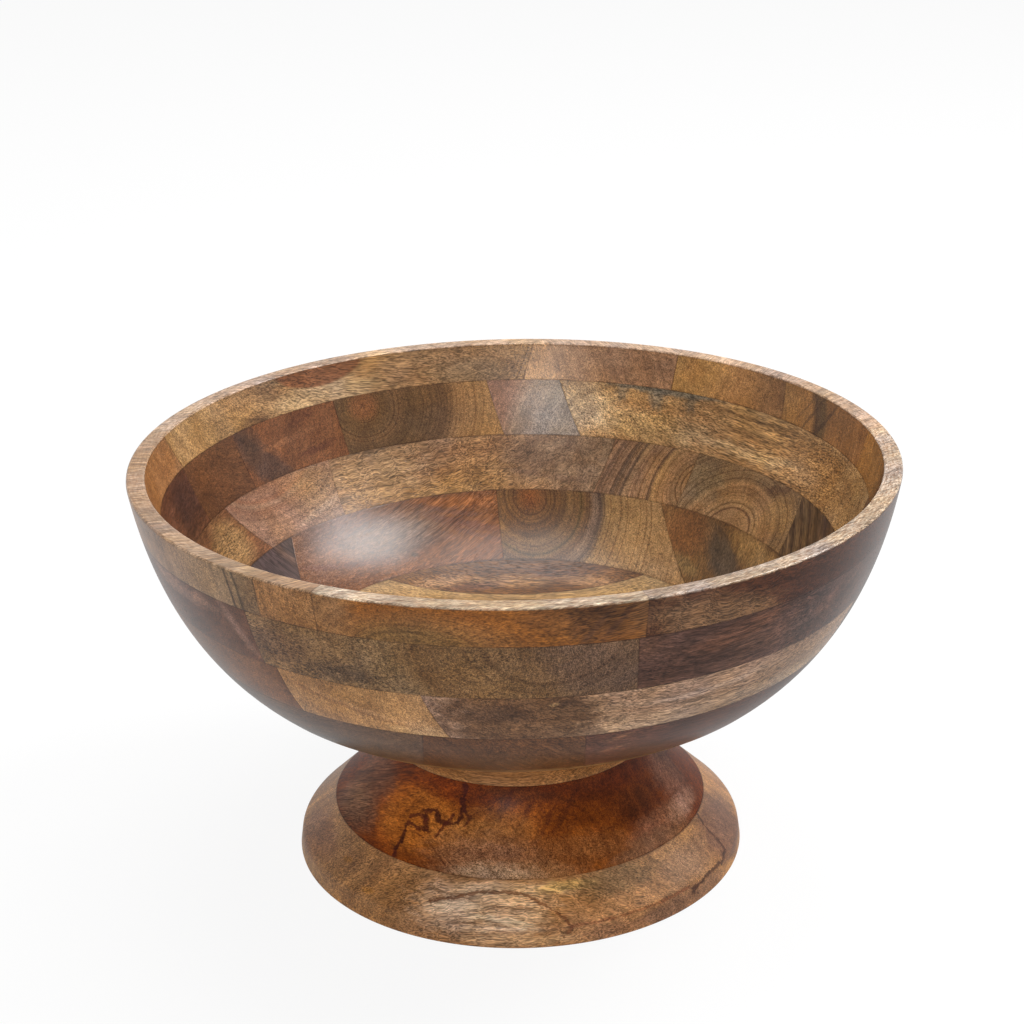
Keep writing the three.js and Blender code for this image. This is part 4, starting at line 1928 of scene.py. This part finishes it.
FOURTH_BOARDS = (
    Board(
        Slot.BROWN,
        upright(-45, 96),
        (Zone(0, "#54331d", 0.25), Zone(60, "#57351d", 0.25), Zone(100, "#54341d", 0.25)),
        spacing=1.4,
        lines=0.5,
        fibres=4.8,
        pore_width=1.0,
        seed=2.2,
    ),
    Board(
        Slot.UMBER,
        upright(52, 100, lean=20),
        (Zone(0, "#543223", 0.2), Zone(30, "#573526", 0.2), Zone(60, "#503124", 0.25)),
        patches=(
            Patch(Spot(16, 104.5), 5, 1.8, "#84593d", 0.5, tilt=20, ragged=6),
            Patch(Spot(13.5, 99), 2.4, 5, "#40281f", 0.6, ragged=4),
            Patch(Spot(16, 98), 5, 1.3, "#7d533a", 0.5, tilt=14),
        ),
        bands=0.4,
        fibres=4.4,
        pore_width=0.9,
        seed=7.5,
    ),
    Board(
        Slot.UMBER,
        upright(118, 76, INNER, lean=60, rise=20),
        (Zone(0, "#654828", 0.25), Zone(30, "#6a4929", 0.25), Zone(60, "#5b452e", 0.25)),
        patches=(
            Patch(Spot(112, 103, INNER), 24, 6, "#8d6c42", 0.85, tilt=8, flecks=0.4),
            Patch(Spot(122, 98, INNER), 17, 6, "#4d3f31", 0.85, tilt=30, ragged=8),
            Patch(Spot(136, 101, INNER), 13, 10, "#714827", 0.65, tilt=30, ragged=9),
            Patch(Spot(131, 92, INNER), 9, 3, "#7b6440", 0.5, tilt=20, ragged=4),
        ),
        seed=3.8,
    ),
    Board(
        Slot.OLIVE,
        Grain(176.5, 105.8, 111.1, 80.3, -11.9),
        (Zone(0, "#70411f", 0.25), Zone(3, "#6d4220", 0.25), Zone(7, "#5d3e23", 0.25),
         Zone(10, "#684828", 0.25), Zone(11, "#50351d"), Zone(13, "#644425", 0.25),
         Zone(15, "#563b21", 0.25), Zone(18, "#6d4e2d", 0.2), Zone(21.4, "#654728", 0.2),
         Zone(22.4, "#56401f"), Zone(23.6, "#684929", 0.2), Zone(26, "#563b23", 0.25),
         Zone(28, "#6e5541", 0.2), Zone(31, "#4f3c2e"), Zone(33.6, "#84653f", 0.25), Zone(60, "#8a6944")),
        spacing=1.1,
        wander=2.2,
        lines=0.75,
        bands=0.45,
        streaks=0.5,
        seed=6.9,
    ),
    Board(
        Slot.RUSSET,
        upright(150, 76, INNER, lean=110, rise=20),
        (Zone(0, "#69401e"), Zone(60, "#6a4122"), Zone(90, "#69462f", 0.25), Zone(130, "#5c463b", 0.2)),
        patches=(
            Patch(Spot(193, 98, INNER), 20, 2.2, "#54352c", 0.6, tilt=18, ragged=8),
            Patch(Spot(190, 94, INNER), 15, 1.4, "#583a31", 0.5, tilt=22, ragged=7),
            Patch(Spot(197, 103, INNER), 16, 1.4, "#5c4038", 0.5, tilt=16, ragged=7),
            Patch(Spot(203, 96, INNER), 14, 1.2, "#7c5a48", 0.4, tilt=18, ragged=7),
            # Greyish patch where the right lamp's highlight falls: partly grey wood, partly a painted
            # highlight.
            Patch(Spot(212, 97, INNER), 26, 10, "#66584f", 0.6, ragged=8),
            Patch(Spot(193, 105.5, INNER), 20, 2.6, "#86522c", 0.6, tilt=4, ragged=7),
            Patch(Spot(208, 90.5, INNER), 1.7, 1.3, "#382e25", 0.8, ragged=0.8),
            Patch(Spot(230, 94, INNER), 22, 1.6, "#55352c", 0.5, tilt=16, ragged=4),
        ),
        pore_width=0.6,
        dullness=0.23,
        seed=1.6,
    ),
    Board(
        Slot.PLUM,
        upright(250, 86, INNER, lean=70, rise=40),
        (Zone(0, "#3e3231", 0.15), Zone(20, "#45342f", 0.15), Zone(23, "#5c4539", 0.15),
         Zone(26, "#3f3230", 0.15), Zone(60, "#4a3a34", 0.2)),
        seed=5.0,
    ),
    Board(
        Slot.BROWN,
        upright(325, 92, lean=24),
        (Zone(0, "#553d2a", 0.25), Zone(30, "#593f2e", 0.25), Zone(60, "#563c2d", 0.25)),
        bands=0.35,
        seed=8.4,
    ),
)

FLOOR_BOARDS = (
    Board(
        Slot.TAN,
        Grain(0, 50, 70, 4),
        (Zone(0, "#7c5a38"), Zone(30, "#83603a"), Zone(60, "#7a5836")),
        seed=2.7,
    ),
    Board(
        Slot.BLOND,
        Grain(0, 40, 10, 2),
        (Zone(0, "#94703f"), Zone(40, "#967142"), Zone(70, "#8c683c")),
        seed=5.9,
    ),
    Board(
        Slot.TAN,
        Grain(180, 50, 44, 3),
        (Zone(0, "#91734d", 0.25), Zone(22, "#96774e", 0.25), Zone(30, "#8f7049", 0.25),
         Zone(60, "#997d56", 0.25)),
        bands=0.6,
        seed=1.8,
    ),
    Board(
        Slot.BROWN,
        Grain(180, 66, 92, 6),
        (Zone(0, "#56351a", 0.7), Zone(8, "#603d1b", 0.75), Zone(20, "#5b391a", 0.7),
         Zone(40, "#64421e", 0.6)),
        patches=(
            Patch(Spot(181, 80.5, INNER), 20, 3.2, "#94704c", 0.65, ragged=9, flecks=0.8),
            Patch(Spot(207, 82, INNER), 15, 3, "#937050", 0.65, ragged=8, flecks=0.8),
            Patch(Spot(168, 82.5, INNER), 12, 3.2, "#553524", 0.6, ragged=7),
            Patch(Spot(194, 80, INNER), 13, 2.6, "#54362a", 0.6, ragged=7),
            Patch(Spot(155, 81.5, INNER), 14, 3, "#906b48", 0.6, ragged=8, flecks=0.7),
        ),
        pore_width=0.8,
        seed=6.3,
    ),
)

WALL_COURSES = (
    ("fourth_course", FOURTH_BASE, THIRD_BASE, FOURTH_BOARDS,
     ((-18, 20), (12, -12), (78, 0), (144.5, 46), (184, 2), (238, -42), (300, 0))),
    ("third_course", THIRD_BASE, SECOND_BASE, THIRD_BOARDS,
     ((-36.5, -10), (-10.5, -36), (62, 15), (110.5, 26), (140.5, -10), (159, -23), (219.5, -8), (250.5, 41))),
    ("second_course", SECOND_BASE, RIM_BASE, SECOND_BOARDS,
     ((-39.5, -10), (17, -15), (84, 0), (171.5, 45), (185, 33), (215, 7), (239.5, 7), (257, 0))),
    ("rim_course", RIM_BASE, RIM_TOP, RIM_BOARDS,
     ((-37, 0), (-27.5, 0), (17, 0), (98, 10), (126, 33), (149, -10), (175.5, -40), (260, 48))),
)

NECK_BOARD = Board(
    Slot.BLOND,
    Grain(0, 30, 20, 10),
    (Zone(0, "#956840", 0.7), Zone(30, "#9b6c41", 0.75), Zone(60, "#92663e", 0.7)),
    pore_length=2.4,
    pore_width=0.8,
    seed=3.3,
)

FOOT_UPPER_BOARD = Board(
    Slot.AMBER,
    Grain(-20, 10, 40, 30, 25),
    (Zone(0, "#7d3f0e", 0.1), Zone(25, "#804210", 0.1), Zone(45, "#75370c", 0.1),
     Zone(70, "#692f08", 0.15), Zone(90, "#632c08", 0.15)),
    patches=(
        Patch(Spot(-38, 33, FOOT_COVE), 23, 12, "#a46124", 0.8, ragged=7, flecks=0.0),
        # Dark bands along the top of the cove, under the neck and the bowl: painted shade.
        Patch(Spot(-22, 47, FOOT_COVE), 22, 5, "#6b2c07", 0.8, through=12, softness=0.6),
        Patch(Spot(8, 47, FOOT_COVE), 30, 6, "#542104", 0.9, through=14, softness=0.6),
        Patch(Spot(46, 46, FOOT_COVE), 18, 6, "#552208", 0.85, through=12, softness=0.6),
        Patch(Spot(-4, 36, FOOT_COVE), 16, 8, "#894916", 0.6, tilt=20, ragged=9),
        # Dark cove towards the right: partly dark wood, partly painted shade of the bowl.
        Patch(Spot(34, 38, FOOT_COVE), 30, 8, "#4b2006", 0.6, tilt=-12, ragged=10),
        Patch(Spot(24, 31, FOOT_COVE), 14, 2.0, "#7b3e12", 0.6, tilt=24, ragged=8),
        Patch(Spot(4, 46, FOOT_COVE), 20, 2.4, "#592c0f", 0.6, tilt=-8, ragged=8),
        Patch(Spot(-6, 42, FOOT_COVE), 9, 1.1, "#41180a", 0.6, tilt=62, ragged=6),
        Patch(Spot(1, 38, FOOT_COVE), 10, 1.3, "#471b0b", 0.6, tilt=58, ragged=6),
        Patch(Spot(9, 36, FOOT_COVE), 10, 1.1, "#41190a", 0.5, tilt=55, ragged=6),
        Patch(Spot(-13, 38, FOOT_COVE), 8, 1.0, "#4b1f0c", 0.5, tilt=64, ragged=6),
        Patch(Spot(18, 40, FOOT_COVE), 11, 1.2, "#3e1a0a", 0.5, tilt=50, ragged=6),
        Patch(Spot(-13, 33, FOOT_COVE), 19, 7, "#a66e38", tilt=8, ragged=9, softness=0.8, flecks=0.2),
        Patch(Spot(-9, 27, FOOT_COVE), 30, 7, "#97694a", 0.8, tilt=-3, ragged=10, softness=0.8, flecks=0.4),
        Patch(Spot(20, 27.5, FOOT_COVE), 26, 6, "#85532b", 0.7, tilt=-4, ragged=9, softness=0.8, flecks=0.4),
        Patch(Spot(54, 26.5, FOOT_COVE), 20, 5.5, "#875a40", ragged=8, softness=0.7, flecks=0.4),
        Patch(Spot(-3, 22.6, FOOT_COVE), 62, 4.4, "#976b45", ragged=8, softness=0.8, flecks=0.5),
        Patch(Spot(46, 23, FOOT_COVE), 24, 3.6, "#7f5a3d", 0.7, through=9, ragged=7, flecks=0.5),
        # Dark patch on the right of the cove: partly dark wood, partly painted shade of the bowl.
        Patch(Spot(50, 35, FOOT_COVE), 12, 7, "#46220d", 0.65, ragged=7, softness=0.7),
        # Light greyish patch near the right edge of the cove: painted sheen where the cove turns away from
        # view.
        Patch(Spot(68, 26, FOOT_COVE), 13, 4, "#a07a63", 0.7, ragged=6, flecks=0.4),
        Patch(Spot(-8, 22.8, FOOT_COVE), 17, 3.2, "#ab8a6c", 0.85, ragged=6, softness=0.6, flecks=0.5),
        # Lighter patches near both side edges of the cove: painted sheen where the cove turns away from view.
        Patch(Spot(-74, 36, FOOT_COVE), 17, 13, "#6a452f", ragged=8),
        Patch(Spot(-72, 26, FOOT_COVE), 17, 7, "#8a6449", ragged=8, softness=0.6, flecks=0.4),
        Patch(Spot(74, 35, FOOT_COVE), 11, 13, "#7a503b", 0.8, ragged=8),
    ),
    strokes=(
        Stroke(
            ((-23, 48.2), (-23.2, 43), (-22.2, 37.1), (-25.3, 34.5), (-30.2, 34.5), (-33, 37.7), (-38, 36.5),
             (-34, 31.2), (-38.5, 30.7), (-42.5, 31.1), (-41.8, 26.6), (-41.7, 21.5)),
            FOOT_COVE, "#38110b", width=1.5, ragged=3.2,
        ),
        Stroke(
            ((-26, 37.6), (-28.5, 33.2), (-30, 30.4)),
            FOOT_COVE, "#4b1d12", width=1.1, strength=0.8, ragged=2.8,
        ),
        Stroke(
            ((-36, 34), (-39.8, 34.8), (-43, 33)),
            FOOT_COVE, "#4b1d12", width=1.1, strength=0.8, ragged=2.8,
        ),
        Stroke(
            ((-22, 40), (-19, 37.4), (-20.5, 35)),
            FOOT_COVE, "#4b1d12", width=0.9, strength=0.7, ragged=2.8,
        ),
        Stroke(
            ((-40.4, 29.5), (-33.6, 28.9), (-27.9, 26), (-23.7, 23.1)),
            FOOT_COVE, "#4a2210", width=0.45, strength=0.6,
        ),
        Stroke(((-8.5, 45), (-7, 42), (-9, 40.5)), FOOT_COVE, "#3c1a10", width=0.5, strength=0.6),
        Stroke(((8, 41), (10, 39), (8.2, 38.2)), FOOT_COVE, "#3c1a10", width=0.45, strength=0.5),
    ),
    lines=0.3,
    fibres=4.0,
    streaks=0.9,
    pore_width=0.55,
    dullness=0.44,
    gloss=0.34,
    seed=4.7,
)

FOOT_BASE_BOARD = Board(
    Slot.TAN,
    Grain(10, 8, 30, 14, 3),
    (Zone(0, "#ae7f4c", 0.35), Zone(30, "#a97949", 0.35), Zone(60, "#a47448", 0.35),
     Zone(80, "#986c44", 0.35)),
    patches=(
        Patch(Spot(-46, 13, FOOT_SLOPE), 36, 14, "#96693e", 0.85, ragged=12, flecks=0.6),
        Patch(Spot(-56, 14.3, FOOT_SLOPE), 2.4, 1.5, "#a8702c", 0.65, ragged=3),
        Patch(Spot(-43.7, 10.1, FOOT_SLOPE), 2.8, 1.5, "#a8702c", 0.65, ragged=3),
        Patch(Spot(-76, 12, FOOT_SLOPE), 20, 10, "#794d35", 0.7, ragged=8, flecks=0.4),
        # Pale front patch: partly pale wood, partly a painted highlight.
        Patch(Spot(-10, 12, FOOT_SLOPE), 31, 10.5, "#d6b08b", 0.85, ragged=13, softness=0.55, flecks=0.6),
        Patch(Spot(-3, 18.6, FOOT_SLOPE), 24, 2.6, "#cba67e", ragged=6, softness=0.6, flecks=0.5),
        # Two small whitish streaks: painted highlights.
        Patch(Spot(-17, 13, FOOT_SLOPE), 11, 2.2, "#e6c6a0", 0.6, tilt=8, ragged=8, flecks=0.3),
        Patch(Spot(-5, 10, FOOT_SLOPE), 14, 1.5, "#efd3b0", 0.65, tilt=-8, ragged=8, flecks=0.3),
        Patch(Spot(-13, 9, FOOT_SLOPE), 13, 1.0, "#8f6543", 0.65, tilt=6, ragged=8),
        Patch(Spot(-3, 13.6, FOOT_SLOPE), 12, 0.9, "#946a47", 0.65, tilt=-6, ragged=8),
        Patch(Spot(-9, 5.5, FOOT_SLOPE), 15, 1.0, "#8c603d", 0.6, tilt=5, ragged=8),
        Patch(Spot(-20, 16, FOOT_SLOPE), 12, 0.9, "#8c6341", 0.6, tilt=-8, ragged=7),
        Patch(Spot(9, 8, FOOT_SLOPE), 9, 5, "#9d7048", 0.6, ragged=7, flecks=0.6),
        Patch(Spot(13.6, 18.6, FOOT_SLOPE), 12, 2.2, "#bd9a5c", 0.65, ragged=6),
        Patch(Spot(29, 17.5, FOOT_SLOPE), 20, 5, "#7d5f3c", ragged=8, flecks=0.65),
        Patch(Spot(52, 14, FOOT_SLOPE), 16, 8, "#88664c", 0.8, ragged=6, flecks=0.3),
        Patch(Spot(44, 5, FOOT_SLOPE), 14, 4, "#6e4c2d", 0.6, ragged=7, flecks=0.6),
        Patch(Spot(75, 12, FOOT_SLOPE), 24, 16, "#664433", 0.9, ragged=8, flecks=0.3),
        Patch(Spot(46, 3, FOOT_SLOPE), 50, 4.2, "#7d5840", ragged=7, flecks=0.45),
        Patch(Spot(23, 3, FOOT_SLOPE), 13, 3.6, "#7a5135", 0.65, ragged=6, flecks=0.5),
        Patch(Spot(-2, 3, FOOT_SLOPE), 24, 2.6, "#cca277", 0.65, ragged=6, flecks=0.5),
    ),
    strokes=(
        Stroke(
            ((69.4, 20.4), (67.7, 16.5), (68, 11.7), (67.1, 8.5), (62.8, 7.2), (57.2, 7.7), (51, 6.6),
             (47.6, 6.1), (50.4, 1.1)),
            FOOT_SLOPE, "#3b1a0d", width=1.15, ragged=3.0,
        ),
        Stroke(
            ((-24.8, 13.1), (-18, 15), (-11.7, 17.4), (-0.5, 17.4), (1.4, 16.6), (6, 13.9), (10.7, 10),
             (12, 6.9), (9, 2.6)),
            FOOT_SLOPE, "#67391c", width=1.0, strength=0.8, ragged=2.4,
        ),
        Stroke(
            ((12, 7.5), (24, 7.6), (36, 7.7), (47, 7.8)),
            FOOT_SLOPE, "#713a1f", width=0.8, strength=0.6, ragged=0.6,
        ),
        Stroke(((-24.8, 13.1), (-20.5, 5), (-16, 1)), FOOT_SLOPE, "#744726", width=0.6, strength=0.55),
    ),
    pore_length=2.2,
    pore_width=0.8,
    ripple=2.4,
    dullness=0.4,
    seed=9.9,
)

DOWEL_BOARD = Board(
    Slot.BEECH,
    Grain(0, 30, 0.5, 0, 90),
    (Zone(0, "#c9a77c", 0.2), Zone(14, "#c2a074", 0.2)),
    spacing=1.0,
)


@dataclass(frozen=True)
class CentreDowel:
    """Dowel inside the neck. Its CAD solid is right as it is and gets its wood only."""

    board: Board
    node: str = "centre_dowel"

    def build(self, groups: EffectGroups) -> None:
        """Dress the dowel.

        Args:
            groups: The shared node groups.
        """
        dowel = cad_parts[self.node]
        dowel.data.materials.clear()
        dowel.data.materials.append(self.board.material(f"{self.node}_wood", groups, Seams()))
        LOG.info("%s: CAD solid with %s", self.node, self.board.slot.value)


# Studio


@dataclass(frozen=True)
class SoftLamp:
    """Square soft lamp that faces the bowl."""

    name: str
    azimuth: float
    elevation: float
    distance: float
    size: float
    power: float

    def build(self, target: Vector) -> None:
        """Place the lamp round a target.

        Args:
            target: Place that the lamp faces, in metres.
        """
        light = bpy.data.lights.new(self.name, "AREA")
        light.shape = "SQUARE"
        light.size = self.size
        light.energy = self.power
        lamp = bpy.data.objects.new(self.name, light)
        rise = math.radians(self.elevation)
        back = outward(self.azimuth) * math.cos(rise) + Vector((0, 0, math.sin(rise)))
        lamp.location = target + back * self.distance
        lamp.rotation_euler = (-back).to_track_quat("-Z", "Y").to_euler()
        bpy.context.scene.collection.objects.link(lamp)


@dataclass(frozen=True)
class Studio:
    """White floor, soft lamps, white surroundings and the camera."""

    floor_radius: float = 12.0
    floor_sides: int = 96
    floor_drop: float = 0.0002
    floor_colour: tuple[float, float, float, float] = (0.8, 0.8, 0.8, 1.0)
    floor_glow: float = 0.9
    # Glow of the floor in reflections: brighter towards the sides as a painted sheen, dimmer near the bowl as
    # a painted shade.
    floor_sheen: tuple[float, float] = (0.42, 0.9)
    sheen_way: tuple[float, float, float] = (-0.2, 0.98, 0.0)
    sheen_reach: tuple[float, float] = (-0.2, 0.1)
    shade_reach: tuple[float, float] = (0.1, 0.42)
    shade_depth: float = 0.8
    surround: float = 0.85
    ceiling: float = 0.35
    ceiling_rise: tuple[float, float] = (0.05, 0.5)
    lamps: tuple[SoftLamp, ...] = (
        SoftLamp("lamp_right", 104, 53, 1.8, 0.75, 32),
        SoftLamp("lamp_front", -11, 28, 2.4, 0.55, 19),
        SoftLamp("lamp_top", 180, 80, 2.2, 1.2, 32),
    )
    target: tuple[float, float, float] = (0.0, 0.0, 0.09)
    camera_place: tuple[float, float, float] = (-0.00117, -0.8322, 0.4712)
    camera_elevation: float = 21.555
    camera_roll: float = -1.031
    lens: float = 79.81
    sensor: float = 36.0
    clip: tuple[float, float] = (0.01, 100.0)

    def build(self) -> None:
        """Build the studio."""
        self._floor()
        self._surroundings()
        for lamp in self.lamps:
            lamp.build(Vector(self.target))
        self._camera()
        bpy.context.scene.view_settings.view_transform = "Standard"

    def _floor(self) -> None:
        """Round white floor that keeps a trace of the bowl's shadow. In reflections it glows brighter towards
        the sides, a painted sheen, and dimmer near the bowl, a painted shade.
        """
        form = bmesh.new()
        bmesh.ops.create_circle(form, cap_ends=True, segments=self.floor_sides, radius=self.floor_radius)
        mesh = bpy.data.meshes.new("floor")
        form.to_mesh(mesh)
        form.free()
        floor = bpy.data.objects.new("floor", mesh)
        floor.location.z = -self.floor_drop
        bpy.context.scene.collection.objects.link(floor)
        white = bpy.data.materials.new("white_floor")
        white.use_nodes = True
        white.node_tree.nodes.clear()
        sheet = NodeSheet(white.node_tree)
        matt = sheet.node("ShaderNodeBsdfDiffuse", {"Color": self.floor_colour})
        rays = sheet.node("ShaderNodeLightPath").outputs
        here = sheet.node("ShaderNodeTexCoord").outputs["Object"]
        # Painted sheen: the glow seen in reflections is brighter to the sides. Painted shade: it dims near
        # the bowl.
        side = sheet.vector("DOT_PRODUCT", here, self.sheen_way)
        sheen = sheet.ramp(side, *self.sheen_reach, *self.floor_sheen)
        shade = sheet.ramp(sheet.vector("LENGTH", here), *self.shade_reach, self.shade_depth, 1.0)
        strength = sheet.between(rays["Is Glossy Ray"], 1.0, sheet.math("MULTIPLY", sheen, shade))
        glow = sheet.node("ShaderNodeEmission", {"Color": WHITE, "Strength": strength})
        camera = sheet.math("MAXIMUM", rays["Is Camera Ray"], rays["Is Transmission Ray"])
        share = sheet.math("MULTIPLY_ADD", camera, self.floor_glow, rays["Is Glossy Ray"])
        shown = sheet.node("ShaderNodeMixShader", {0: share, 1: matt.outputs[0], 2: glow.outputs[0]})
        sheet.node("ShaderNodeOutputMaterial", {"Surface": shown.outputs[0]})
        mesh.materials.append(white)

    def _surroundings(self) -> None:
        """White surroundings that light the bowl at a plain level."""
        world = bpy.data.worlds.new("white_surroundings")
        world.use_nodes = True
        world.node_tree.nodes.clear()
        sheet = NodeSheet(world.node_tree)
        way = sheet.node("ShaderNodeTexCoord").outputs["Generated"]
        rise = sheet.node("ShaderNodeSeparateXYZ", {0: way}).outputs["Z"]
        light = sheet.ramp(rise, *self.ceiling_rise, 1.0, self.ceiling)
        rays = sheet.node("ShaderNodeLightPath").outputs
        strength = sheet.between(rays["Is Glossy Ray"], sheet.math("MULTIPLY", light, self.surround), light)
        strength = sheet.math("MAXIMUM", strength, rays["Is Camera Ray"])
        strength = sheet.math("MAXIMUM", strength, rays["Is Transmission Ray"])
        back = sheet.node("ShaderNodeBackground", {"Color": WHITE, "Strength": strength})
        sheet.node("ShaderNodeOutputWorld", {"Surface": back.outputs[0]})
        bpy.context.scene.world = world

    def _camera(self) -> None:
        """Camera at the photograph's angle."""
        data = bpy.data.cameras.new("camera")
        data.lens = self.lens
        data.sensor_width = self.sensor
        data.clip_start, data.clip_end = self.clip
        camera = bpy.data.objects.new("camera", data)
        camera.location = self.camera_place
        level = Matrix.Rotation(math.radians(90 - self.camera_elevation), 4, "X")
        camera.rotation_euler = (level @ Matrix.Rotation(math.radians(self.camera_roll), 4, "Z")).to_euler()
        bpy.context.scene.collection.objects.link(camera)
        bpy.context.scene.camera = camera


def wall_courses() -> list[WallCourse]:
    """The courses of the wall, from the lowest up.

    Returns:
        The courses.
    """
    courses = []
    for name, base, top, boards, joints in WALL_COURSES:
        blocks = tuple(Block(Joint(*joint), board) for joint, board in zip(joints, boards))
        courses.append(WallCourse(name, base, top, blocks, is_rim=top == RIM_TOP))
    return courses


def main() -> None:
    """Build the bowl from the foot up, then the studio."""
    logging.basicConfig(level=logging.INFO, format="%(name)s %(message)s")
    groups = EffectGroups()
    parts = [
        Foot(FOOT_UPPER_BOARD, FOOT_BASE_BOARD),
        NeckCollar(NECK_BOARD),
        CentreDowel(DOWEL_BOARD),
        FloorCourse(FLOOR_BOARDS),
        *wall_courses(),
    ]
    for part in parts:
        part.build(groups)
    Studio().build()


if __name__ == "__main__":
    main()
